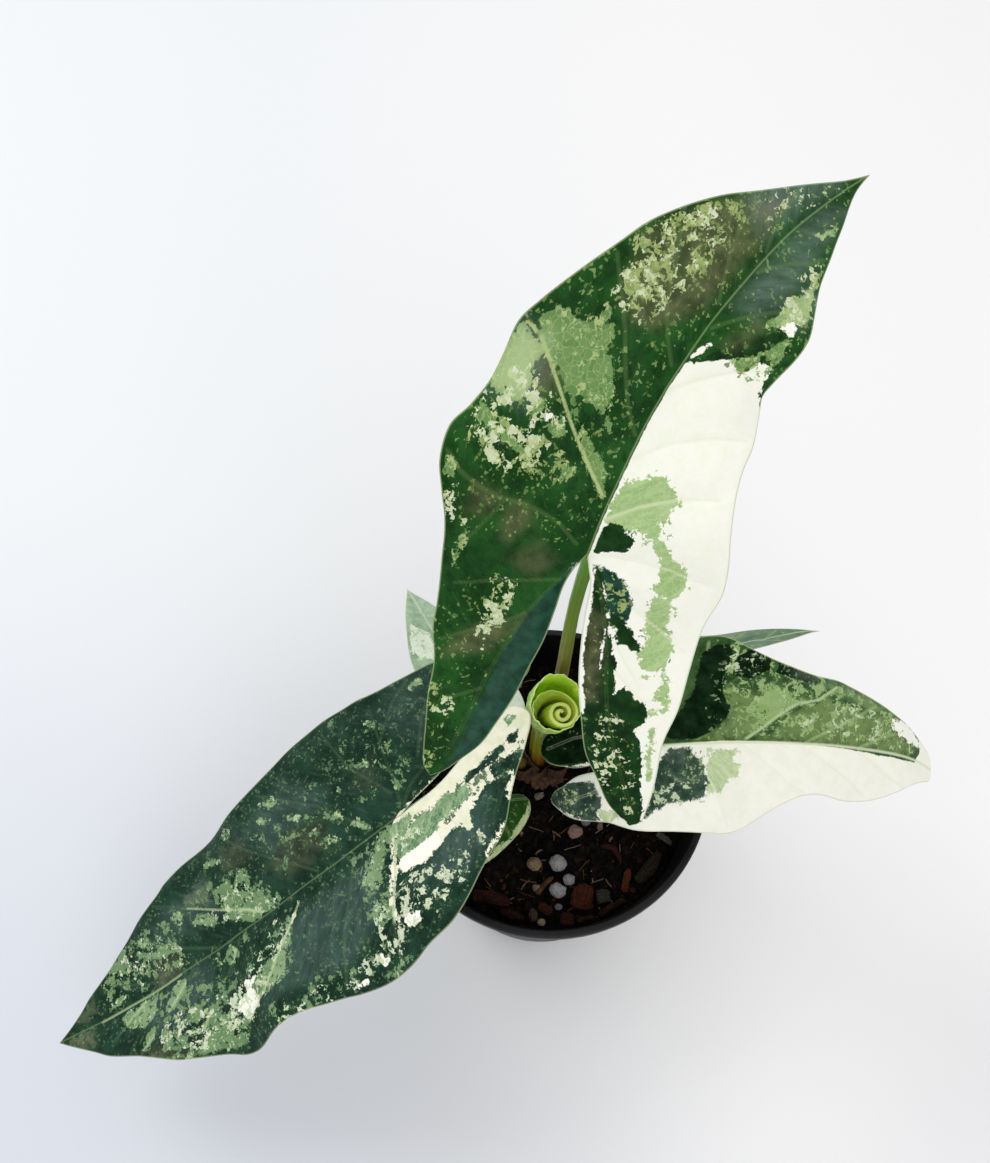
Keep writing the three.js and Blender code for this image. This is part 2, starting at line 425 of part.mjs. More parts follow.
GRAINS.forEach(([x, y, r], i) => {
  const g = new THREE.IcosahedronGeometry(r, 1), p = g.getAttribute("position");
  for (let k = 0; k < p.count; k++) {
    const d = 1 + 0.05 * Math.sin(1.7 * p.getX(k) + i) + 0.04 * Math.cos(2.1 * p.getY(k) - i);
    p.setXYZ(k, p.getX(k) * d, p.getY(k) * d * 0.92, p.getZ(k) * d * 0.8);
  }
  add("perlite_grain_" + (i + 1), g, material(0xc9c4c2, 0.85)).position.set(x, y, SOIL_TOP + 0.4 + r * 0.9);
});

export default plant;
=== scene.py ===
# Potted simpo alocasia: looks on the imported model. Metres in Blender, millimetres in the tables below.
import math
import bmesh
import bpy
import numpy as np
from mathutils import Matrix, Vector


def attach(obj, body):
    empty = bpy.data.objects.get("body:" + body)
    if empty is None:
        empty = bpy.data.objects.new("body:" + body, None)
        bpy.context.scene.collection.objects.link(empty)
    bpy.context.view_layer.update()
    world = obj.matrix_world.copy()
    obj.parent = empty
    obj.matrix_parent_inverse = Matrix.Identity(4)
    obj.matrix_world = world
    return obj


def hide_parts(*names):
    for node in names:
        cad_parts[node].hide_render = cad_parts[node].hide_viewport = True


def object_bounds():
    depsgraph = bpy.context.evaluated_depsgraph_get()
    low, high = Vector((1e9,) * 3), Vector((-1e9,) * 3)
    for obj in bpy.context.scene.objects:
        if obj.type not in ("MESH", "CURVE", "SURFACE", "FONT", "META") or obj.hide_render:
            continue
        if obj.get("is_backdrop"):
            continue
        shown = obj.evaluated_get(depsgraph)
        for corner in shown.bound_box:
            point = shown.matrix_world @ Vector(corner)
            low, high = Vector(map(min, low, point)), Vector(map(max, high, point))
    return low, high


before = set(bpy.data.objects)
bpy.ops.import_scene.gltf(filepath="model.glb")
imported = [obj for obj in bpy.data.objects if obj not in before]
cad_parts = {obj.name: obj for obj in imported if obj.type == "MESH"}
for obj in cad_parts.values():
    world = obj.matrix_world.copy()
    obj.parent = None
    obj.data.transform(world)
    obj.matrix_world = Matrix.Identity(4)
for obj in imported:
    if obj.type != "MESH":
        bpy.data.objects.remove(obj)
CAD_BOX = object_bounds()
MM = 0.001
RNG = np.random.default_rng(7)

# ---------------------------------------------------------------- dimensions, as in the model
POT_H, POT_R_TOP, POT_R_RIM, POT_R_BASE, POT_WALL, POT_FLOOR, RIM_H = 100.0, 58.4, 60.0, 41.0, 1.3, 1.8, 3.6
DRAIN_R, DRAIN_RING, DRAINS, SOIL_TOP = 4.0, 29.0, 8, 82.0
CORM = dict(x=-1.5, y=10.0, r=10.5, top=86.0)

LEAVES = {
    "upper": dict(
        join=(5.44, 12.46, 238.39), heading=61.4, sway=-14.6, pitch=58.2, bend=-64.1, bend2=11.5, back=3.0,
        roll=19.2, twist=18.2, hook=0, hookFrom=60, fold=0.18, soft=5, crown=0.35,
        waves=[(-1, 88, 13, 4.5, 24), (-1, 62, 12, -4.0, 27), (-1, 28, 16, 3.0, 34), (-1, -10, 16, -2.5, 38), (-1, -50, 18, 2.5, 38),
               (1, 86, 14, -3.5, 26), (1, 58, 13, 3.5, 38), (1, 30, 12, -3.5, 43), (1, 4, 13, 3.0, 42), (1, -28, 14, -3.0, 36), (1, -60, 16, 2.0, 33)],
        left=dict(
            outer=[(-85, 28), (-81.5, 30.5), (-74, 31.5), (-66, 32), (-55.5, 33), (-44.5, 33.5), (-35.5, 36), (-27, 36.5), (-12.5, 38), (1, 40),
                   (7.5, 43), (13.5, 46), (20.5, 46.5), (26, 43.5), (32.5, 41.5), (38.5, 41.5), (46, 42.3), (51, 40.5), (60, 36.5), (70.5, 32),
                   (79, 29), (86, 25.5), (94.5, 20.5), (103.5, 14.5), (115, 8.5), (128, 3), (135.5, 1), (141, 0)],
            inner=[(-85, 28), (-82, 24), (-76.5, 19.5), (-69.5, 14.5), (-61.5, 11.5), (-50.5, 8), (-39.5, 6), (-29.5, 4.2), (-19.5, 3.6), (-10.5, 3.4), (-5, 2.2), (0, 0)]),
        right=dict(
            outer=[(-87, -35), (-85, -38), (-79, -38.8), (-73, -39), (-64.5, -38.5), (-51.5, -37.2), (-39.5, -38.3), (-26.5, -38), (-13.5, -37.8), (-2.5, -39.2),
                   (6, -38), (13.5, -36), (20.5, -33.5), (32.5, -30), (41.5, -28.5), (50.5, -28.2), (59.5, -26), (64.5, -23.6), (70, -23.5), (78, -23.5),
                   (85, -22.5), (92.5, -20), (102, -16.5), (112.5, -12.5), (120, -9), (127, -5.2), (133, -2.3), (137, -1), (141, 0)],
            inner=[(-87, -35), (-82.5, -29.5), (-78.5, -26), (-72, -22), (-64, -16.5), (-52.5, -12.5), (-39, -8.5), (-29.5, -6.5), (-18, -4.6), (-8, -3.3), (-3.5, -1.5), (0, 0)])),
    "lower_left": dict(
        join=(-51.61, -25.92, 131.37), heading=208.4, sway=-3.9, pitch=-27.4, bend=-23.7, bend2=18.2, back=-8.8,
        roll=-2.5, twist=0.9, hook=0, hookFrom=60, fold=0.18, soft=5, crown=0.35,
        waves=[(1, 96, 13, -4.5, 38), (1, 72, 12, 4.0, 36), (1, 38, 15, -3.0, 43), (1, 8, 14, 3.0, 42), (1, 126, 14, 3.0, 25),
               (-1, 140, 14, -2.5, 17), (-1, 112, 13, 3.0, 30), (-1, 84, 13, -3.5, 35), (-1, 54, 14, 3.0, 41), (-1, 20, 15, -3.0, 45), (-1, -14, 14, 2.5, 41)],
        left=dict(
            outer=[(-55, -6), (-56.5, -2.5), (-55, 0.5), (-51.5, 3.8), (-47.5, 7.5), (-43.5, 10.8), (-39, 15), (-36, 18), (-31, 23), (-26.5, 26),
                   (-20.5, 28.8), (-14.5, 32), (-9, 35.3), (-3, 38.3), (1.5, 40), (11, 41.7), (16.5, 43.2), (22, 44), (32.5, 44), (43, 42),
                   (49.5, 40), (56, 38.3), (62.5, 36.6), (68.5, 36), (75.5, 36.5), (84, 37.6), (92, 38), (97, 37), (102.5, 34), (111.5, 30.5),
                   (119.5, 27.5), (127, 23.5), (136, 19), (150, 13), (155, 9.5), (161, 5.5), (165.5, 2.5), (169, 0)],
            inner=[(-55, -6), (-52, -8), (-46, -8), (-38, -6), (-32, -4.4), (-25.5, -3), (-18.5, -1.4), (-12, -0.5), (-6, -0.3), (0, 0)]),
        right=dict(
            outer=[(-68, -17), (-66, -22), (-60, -27.5), (-53, -31.5), (-45, -34.5), (-37.5, -37), (-31, -38), (-24.5, -38.7), (-16.5, -39.8), (-11.5, -41),
                   (-6.5, -42.5), (1, -43.7), (12, -45.5), (23, -46), (29.5, -45), (35.5, -43.2), (43, -41.4), (52, -39.9), (66, -38.2), (75.5, -37.5),
                   (86, -36.5), (92.5, -35.5), (98.5, -33.7), (103.5, -32), (107.5, -30), (113.5, -28), (123, -25.5), (132, -22.5), (137.5, -19.5), (141, -17),
                   (147, -13.2), (153, -10), (157.5, -6.7), (164, -2.6), (169, 0)],
            inner=[(-68, -17), (-64, -13.5), (-56, -11.8), (-46, -10.3), (-36, -8), (-26, -5.3), (-16, -3.2), (-8, -1.8), (0, 0)])),
    "right": dict(
        join=(37.62, -5.05, 141.79), heading=-3.6, sway=8.8, pitch=21.5, bend=-65.5, bend2=0, back=-20.8,
        roll=22.6, twist=-5.1, hook=14, hookFrom=78, fold=0.12, soft=5, crown=0.45, curl=(113.5, 3.4),
        waves=[(1, 30, 13, 3.0, 34), (1, 58, 12, -2.5, 24), (1, 84, 12, 2.0, 16), (-1, 46, 11, 3.5, 19), (-1, 18, 12, -3.0, 31),
               (-1, -12, 12, 2.5, 28), (-1, 76, 13, -2.5, 17), (1, 2, 12, -2.5, 33)],
        left=dict(
            outer=[(-46, 1), (-45.5, 4), (-43.5, 6.8), (-40, 8.8), (-34, 11.5), (-27, 17), (-19, 23.5), (-10, 29), (0, 33), (8, 35),
                   (15, 36), (20, 36), (23.5, 35), (30, 31), (34.5, 28.7), (38.5, 27), (48, 24.2), (53, 23.2), (61, 22.3), (65.5, 20.5),
                   (75, 16.5), (83.5, 13), (90, 11), (96, 9.3), (101.5, 7.8), (107, 6.3), (112, 5), (117, 3), (122, 0)],
            inner=[(-46, 1), (-44, -2.3), (-41, -3.8), (-37, -4.6), (-32.5, -5.4), (-24, -4.6), (-15, -3.2), (-7, -1.6), (0, 0)]),
        right=dict(
            outer=[(-43.5, -15.5), (-43, -17), (-41, -19), (-38, -21.5), (-34, -23.2), (-28, -24), (-22, -24.7), (-18, -26), (-13.5, -27.3), (-9, -28),
                   (-2, -28.5), (5.5, -29.2), (13.5, -30), (18.5, -30.3), (23.5, -29.3), (27, -27.5), (31.5, -24.5), (38.5, -20.2), (44.5, -17.4), (50, -16.6),
                   (54.5, -17), (60.5, -18), (67, -18), (75, -17), (81.5, -15), (87.5, -12.5), (93.5, -9.7), (100, -7.6), (106, -6), (112, -4.8), (117, -2.9), (122, 0)],
            inner=[(-43.5, -15.5), (-41.5, -13), (-37.5, -11), (-32.5, -8.3), (-24, -6.8), (-15, -4.6), (-7, -2.3), (0, 0)])),
    "back_right": dict(
        join=(22.1, 29.7, 109.2), heading=5.8, sway=0, pitch=50.2, bend=-59.1, bend2=0, back=60,
        roll=-42.5, twist=0, hook=0, hookFrom=60, fold=0.15, soft=4, crown=0.4,
        waves=[(1, 20, 10, 2.5, 22), (1, 50, 10, -2.5, 18), (-1, 30, 10, -2.5, 21), (-1, 60, 10, 2.0, 15)],
        form="arrow", length=84.6, wide=0.88, lobes=0.24),
    "back_left": dict(
        join=(-25.1, 15.8, 123.5), heading=114.9, sway=0, pitch=-20, bend=-6.4, bend2=0, back=-10,
        roll=13, twist=0, hook=0, hookFrom=60, fold=0.15, soft=4, crown=0.4,
        waves=[(1, 15, 9, 2.0, 17), (1, 40, 9, -2.0, 14), (-1, 24, 9, -2.0, 16), (-1, 50, 9, 2.0, 12)],
        form="arrow", length=79.5, wide=0.8, lobes=0.3),
    "small_low": dict(
        join=(-18.8, -12.5, 105.0), heading=232, sway=0, pitch=8, bend=-30, bend2=0, back=-10,
        roll=4, twist=0, hook=0, hookFrom=60, fold=0.15, soft=3, crown=0.5,
        waves=[(1, 10, 6, 1.0, 13), (-1, 16, 6, -1.0, 13)],
        form="heart", length=44, wide=1, lobes=1),
}
FORMS = {
    "arrow": dict(outer=[(-52, 7.5), (-50, 10.5), (-45, 14), (-35, 18.5), (-25, 21.5), (-15, 24), (-5, 26), (5, 27), (15, 26.5), (30, 24.5),
                         (45, 21.5), (60, 17), (75, 11.5), (85, 7), (93, 3), (97, 1), (100, 0)],
                  inner=[(-52, 7.5), (-50, 6), (-42, 4.4), (-32, 3.2), (-20, 2.2), (-10, 1.3), (0, 0)]),
    "heart": dict(outer=[(-18, 14), (-17, 20), (-10, 27), (0, 30.5), (12, 32), (24, 31.5), (38, 29), (52, 24.5), (66, 18.5), (80, 11.5), (92, 4.5), (97, 1.5), (100, 0)],
                  inner=[(-18, 14), (-16, 9.5), (-11, 5), (-5, 2), (0, 0)]),
}
STEMS = {
    "upper": dict(axis=[(0.6, 15.6, 86.8), (1.6, 18.4, 108), (3.6, 19.8, 150), (4.6, 18.2, 196), (6.6, 14.9, 236.4)], r=[2.9, 2.4, 2.2, 2.0, 1.9]),
    "lower_left": dict(axis=[(-9.6, 5.6, 86.9), (-11.2, 4.6, 102), (-18, -0.8, 118.5), (-33, -13, 127.5), (-50.2, -25.2, 128.6)], r=[2.7, 2.4, 2.2, 2.0, 1.9]),
    "right": dict(axis=[(3.7, 6.0, 86.9), (5.0, 5.6, 100), (10.5, 3.4, 115), (23, -0.6, 128.5), (38.4, -3.9, 138.6)], r=[2.7, 2.3, 2.1, 1.9, 1.8]),
    "back_right": dict(axis=[(6.5, 12.6, 87.4), (9.6, 15.4, 95), (16.2, 21.2, 101.6), (24.3, 27.6, 107.2)], r=[2.4, 2.0, 1.8, 1.6]),
    "back_left": dict(axis=[(-6.2, 14.6, 86.8), (-7.4, 16, 102), (-12.5, 17.2, 116), (-23.6, 16.2, 120.4)], r=[2.4, 2.1, 1.8, 1.6]),
    "small_low": dict(axis=[(-15.2, 4.2, 82.4), (-15.8, 0, 92), (-17.2, -6.5, 99.6), (-18.9, -11.9, 102.6)], r=[1.7, 1.5, 1.3, 1.1]),
}
NEW_STEM = dict(axis=[(-3.3, 8.0, 86.4), (-3.6, 8.2, 100), (-3.5, 8.3, 114), (-3.1, 8.1, 127.0)], r=[3.3, 3.0, 2.9, 3.0])
ROLL = [(-3.0, 8.05, 127.6, 2.9), (-2.6, 7.9, 132, 3.9), (-2.0, 7.4, 138, 5.6), (-1.2, 6.6, 144, 7.4), (-0.2, 5.4, 150, 8.6), (0.5, 4.6, 154, 9.0), (0.9, 4.1, 156.6, 8.6)]
BARK = [
    (12.6, -41.9, 0.4, 9, 7.2, 3.0, 78, 5, 0.3), (-21, -42.5, 0.4, 14, 4.2, 2.6, -13, 4, 0.6), (-13.5, -48.3, 0.4, 9, 2.8, 2.2, -17, 3, 0),
    (6.6, -50.0, 0.4, 4.6, 4.4, 2.4, 88, 4, 0), (-1.2, -46.2, 0.4, 5.6, 3.2, 2.2, -34, 5, 0), (-1.2, -37.6, 0.4, 8.4, 1.8, 1.6, 46, 6, 0.5),
    (29.0, -36.0, 0.4, 8.4, 2.6, 2.2, 77, 14, 0.2), (24.6, -25.4, 0.4, 9.6, 2.2, 2.4, -45, 4, 2.2), (37.6, -31.2, 0.4, 14, 4.4, 3.0, 50, 5, -0.6),
    (23.0, -45.6, 0.4, 11, 2.2, 2.0, 30, 4, 0.4), (13.2, -49.6, 0.4, 6.4, 1.6, 1.4, 17, 3, 0), (44.2, -20.0, 0.4, 6.6, 2.2, 2.0, -40, 5, 0.3),
    (20.2, -41.6, 0.4, 5.0, 4.6, 2.6, 8, 5, 0), (-5.6, -48.4, 0.4, 4.6, 2.8, 2.2, 103, 6, 0),
    (32, -2, 0.4, 13, 5.5, 2.8, -30, 5, 0.5), (0, 34, 0.4, 15, 6, 3.0, 24, 5, 0.6), (-32, 20, 0.4, 16, 5.5, 2.8, -48, 4, -0.5), (24, 41, 0.4, 13, 5, 2.6, 158, 5, 0)]
GRAINS = [(4.0, -29.8, 3.2), (3.3, -39.9, 2.9), (7.7, -35.6, 2.2), (3.6, -45.4, 1.3), (-2.6, -51.0, 1.4), (10.3, -17.8, 2.7),
          (-4.9, -29.8, 2.6), (14.9, -13.6, 1.8), (-30, -4, 2.2), (-11, 43, 2.4), (42, 10, 2.1)]


# ---------------------------------------------------------------- curves and sheets
def catmull(points, n):
    """n + 1 equally spaced points on a centripetal Catmull-Rom curve."""
    p = np.asarray(points, float)
    ext = np.vstack([2 * p[0] - p[1], p, 2 * p[-1] - p[-2]])
    out = []
    for i in range(len(p) - 1):
        p0, p1, p2, p3 = ext[i:i + 4]
        d0, d1, d2 = (max(np.linalg.norm(b - a) ** 0.5, 1e-4) for a, b in ((p0, p1), (p1, p2), (p2, p3)))
        m1 = ((p1 - p0) / d0 - (p2 - p0) / (d0 + d1) + (p2 - p1) / d1) * d1
        m2 = ((p2 - p1) / d1 - (p3 - p1) / (d1 + d2) + (p3 - p2) / d2) * d1
        t = np.linspace(0, 1, 40, endpoint=False)[:, None]
        out.append((2 * t**3 - 3 * t**2 + 1) * p1 + (t**3 - 2 * t**2 + t) * m1 + (-2 * t**3 + 3 * t**2) * p2 + (t**3 - t**2) * m2)
    q = np.vstack(out + [p[-1:]])
    s = np.concatenate([[0], np.cumsum(np.linalg.norm(np.diff(q, axis=0), axis=1))])
    w = np.linspace(0, s[-1], n + 1)
    return np.stack([np.interp(w, s, q[:, k]) for k in range(q.shape[1])], 1)


class Sheet:
    """The curved sheet of a leaf: place(s, t, lift) in millimetres."""

    def __init__(self, leaf):
        self.leaf = leaf
        s = np.arange(-100, 181, 1.0)
        g = leaf.get
        p = np.where(s < 0, leaf["pitch"] + leaf["back"] * s / 100,
                     leaf["pitch"] + leaf["bend"] * s / 100 + leaf["bend2"] * (s / 100) ** 2 - leaf["hook"] * np.maximum(0, (s - leaf["hookFrom"]) / 50) ** 2)
        p = np.radians(p)
        h = np.radians(leaf["heading"] + leaf["sway"] * s / 100)
        turn = np.radians(leaf["roll"] + g("twist") * s / 100)[:, None]
        T = np.stack([np.cos(p) * np.cos(h), np.cos(p) * np.sin(h), np.sin(p)], -1)
        N0 = np.stack([-np.sin(p) * np.cos(h), -np.sin(p) * np.sin(h), np.cos(p)], -1)
        B0 = np.cross(N0, T)
        self.B = B0 * np.cos(turn) + N0 * np.sin(turn)
        self.N = N0 * np.cos(turn) - B0 * np.sin(turn)
        M = np.zeros_like(T)
        M[1:] = np.cumsum((T[1:] + T[:-1]) / 2, 0)
        self.M = M - M[100] + np.array(leaf["join"])

    def place(self, s, t, lift=0.0):
        s, t = np.asarray(s, float), np.asarray(t, float)
        curl = self.leaf.get("curl")
        if curl:  # the tip rolls under itself past this line
            start = curl[0] - 0.12 * np.minimum(np.abs(t), 5) ** 2
            a = np.maximum(s - start, 0) / curl[1]
            s = np.minimum(s, start)
        x = np.clip(s + 100, 0, 279.999)
        i = x.astype(int)
        f = (x - i)[..., None]
        mix = lambda A: A[i] * (1 - f) + A[i + 1] * f
        L = self.leaf
        h = L["fold"] * (np.sqrt(t * t + L["soft"] ** 2) - L["soft"]) - L["crown"] * t * t / 100
        for side, s0, length, height, half in L["waves"]:
            h = h + np.where(np.sign(t) == side, height * np.exp(-(((s - s0) / length) ** 2)) * np.minimum(np.abs(t) / half, 2) ** 2, 0)
        B, N = mix(self.B), mix(self.N)
        if curl:
            T = np.cross(B, N)
            forward = (curl[1] + lift) * np.sin(a)
            return mix(self.M) + B * t[..., None] + T * forward[..., None] + N * (h + lift * np.cos(a) - curl[1] * (1 - np.cos(a)))[..., None]
        return mix(self.M) + B * t[..., None] + N * (h + lift)[..., None]


def outline_of(leaf, side):
    if "form" not in leaf:
        o = leaf["left" if side > 0 else "right"]
        return np.array(o["outer"], float), np.array(o["inner"], float)
    k = leaf["lobes"] / (0.52 if leaf["form"] == "arrow" else 1)
    out = []
    for part in ("outer", "inner"):
        a = np.array(FORMS[leaf["form"]][part], float)
        out.append(np.stack([a[:, 0] * leaf["length"] * np.where(a[:, 0] < 0, k, 1) / 100, side * a[:, 1] * leaf["length"] * leaf["wide"] / 100], 1))
    return out


def polyline_distance(q, line):
    """Distance of points q (n, 2) from a polyline."""
    best = np.full(len(q), 1e9)
    line = np.asarray(line, float)
    for a, b in zip(line[:-1], line[1:]):
        ab = b - a
        u = np.clip(((q - a) @ ab) / max(ab @ ab, 1e-9), 0, 1)
        best = np.minimum(best, np.linalg.norm(q - a - u[:, None] * ab, axis=1))
    return best


def inside(q, poly):
    x, y = q[:, 0], q[:, 1]
    hit = np.zeros(len(q), bool)
    n = len(poly)
    for i in range(n):
        (x1, y1), (x2, y2) = poly[i], poly[(i + 1) % n]
        if y1 == y2:
            continue
        cross = (y1 > y) != (y2 > y)
        hit ^= cross & (x < (x2 - x1) * (y - y1) / (y2 - y1) + x1)
    return hit


def patch_field(q, polys, reach=8.0):
    """Signed distance in mm from the edge of a set of patches, positive inside, limited to the reach."""
    out = np.full(len(q), -reach)
    for poly in polys:
        p = np.asarray(poly, float)
        d = polyline_distance(q, np.vstack([p, p[:1]]))
        out = np.maximum(out, np.where(inside(q, p), d, -d))
    return np.clip(out, -reach, reach)


def pts(text):
    return np.array([float(v) for v in text.split()]).reshape(-1, 2)


def box(s0, s1, t0, t1):
    """An irregular blob that fills a range of s and t."""
    a = np.linspace(0, 2 * np.pi, 9)[:-1]
    k = 1 + 0.16 * np.sin(3 * a + s0) + 0.1 * np.cos(5 * a + t0)
    return np.stack([(s0 + s1) / 2 + (s1 - s0) / 2 * 1.08 * k * np.cos(a), (t0 + t1) / 2 + (t1 - t0) / 2 * 1.08 * k * np.sin(a)], 1)


# ---------------------------------------------------------------- variegation, drawn in leaf coordinates (mm)
VEINS = {
    "upper": dict(
        main=["2.8 3.7 7.2 10 9.2 16.3 9.9 22.2 9.7 27.6 10.8 33.6 12.5 39.8 15.8 44.9",
              "17.9 2 23.3 8.1 28 13.4 32.4 18.6 36.6 23.4 42 30.4 45.4 35.8 46.7 40.4",
              "36 1.2 42 7 49 12.5 56 18 62 24 68 31", "55.9 2.3 60.2 6.9 65.6 11.7 71.7 15.3 80.3 20 86.7 24.5",
              "76 1.6 82 5 90 9 99 13", "96 1 104 4.5 113 7.5",
              "-21.7 11.7 -27 17.6 -32 25 -38.1 33", "9.6 26.2 -5.6 34.1", "-9 5 -11 12 -14 22 -19 33", "-50.3 18.3 -56.3 29.1",
              "1.5 -4 3 -12 3.5 -22 2 -34", "12 -1 19 -8 25 -16 30 -26", "30 -1 38 -8 45 -17 50 -26", "50 -.5 58 -7 66 -14 72 -21",
              "70 -1 78 -6 86 -12 92 -18", "90 -1 98 -5 106 -10 111 -12",
              "-9 -6.5 -11 -15 -16 -25 -22 -35", "-30 -14.5 -36 -22 -43 -32", "-52 -21 -58 -29 -64 -36",
              "-4.5 -4.2 -16.8 -12.3 -25.7 -16.6 -36.4 -26.1"],
        bold=["18.5 2.6 23.3 8.1 28 13.4 32.4 18.6 36.6 23.4 42 30.4 45.4 35.8 46.7 40.4"],
        costa=["0 0 -2.5 1.5 -9 5 -16 9 -22.5 11.5 -32 14 -43 17 -54 19 -65.5 21.5 -76 24.5",
               "0 0 -3 -2.5 -8.5 -6.5 -17.5 -10 -26.5 -13.5 -39.5 -17 -49.5 -20 -61 -25 -78.5 -33.5"]),
    "lower_left": dict(
        main=["3 2.4 10.4 15.4 19.5 29.6 24 41", "22 1.5 31 13 40 24 47 37", "50.2 3.5 64.5 13.1 74.9 22.4 84.1 24.3 92 32", "80 1.5 90 9 101 16 110 25",
              "104 1 114 6 125 12 133 18", "128 .8 138 5 147 9",
              "11.8 -2 26.9 -20.7 46.8 -37.1", "38 -1.5 50 -13 62 -24 72 -35", "65.9 -1.3 72.8 -6 83.9 -11.7 97.4 -19.4 105 -24 111 -27",
              "92 -1 104 -7 117 -14 127 -21", "118 -.8 130 -5 142 -11",
              "-14 9 -18 18 -24 26", "-34 5 -39 11", "-7 -25 -18 -33 -27 -37", "-1 -8 8 -24 13 -42", "-16 -13 -26 -24 -38 -33", "-34 -17 -44 -25 -52 -30"],
        bold=["5 4 10.4 15.4 19.5 29.6", "50.2 3.5 64.5 13.1 74.9 22.4", "66.5 -1.6 72.8 -6 83.9 -11.7 97.4 -19.4", "110 .3 150 .3"],
        costa=["0 0 -1.9 -2.3 -5.1 -13.5 -7 -25.7 -10.1 -37.5", "0 0 -8 -6 -20 -10 -34 -14 -50 -18 -60 -20", "0 0 -8 4 -20 6.5 -34 6 -46 3 -53 -1"]),
    "right": dict(
        main=["27 1.1 34.1 5.7 39.2 9.8 44.7 13.1 52.3 14.9 60 20", "8 2 12 12 15 22 17 34", "-4 2 -8 12 -12 26", "48 .5 56 5 66 10 74 15", "68 0 78 5 88 8",
              "6.5 -1.5 11 -6 16 -15 20 -28", "26 -.5 33 -6 41 -13 46 -16", "48 -1.5 57 -7 66 -12 72 -16", "70 -2 80 -7 90 -11",
              "-14 -9 -18 -17 -22 -24"],
        bold=["27.5 1.3 34.1 5.7 39.2 9.8 44.7 13.1 52.3 14.9 60 20"],
        costa=["0 0 -8 3 -20 6 -32 5 -43 2", "0 0 -6 -4 -14 -9 -26 -14 -38 -17"]),
}

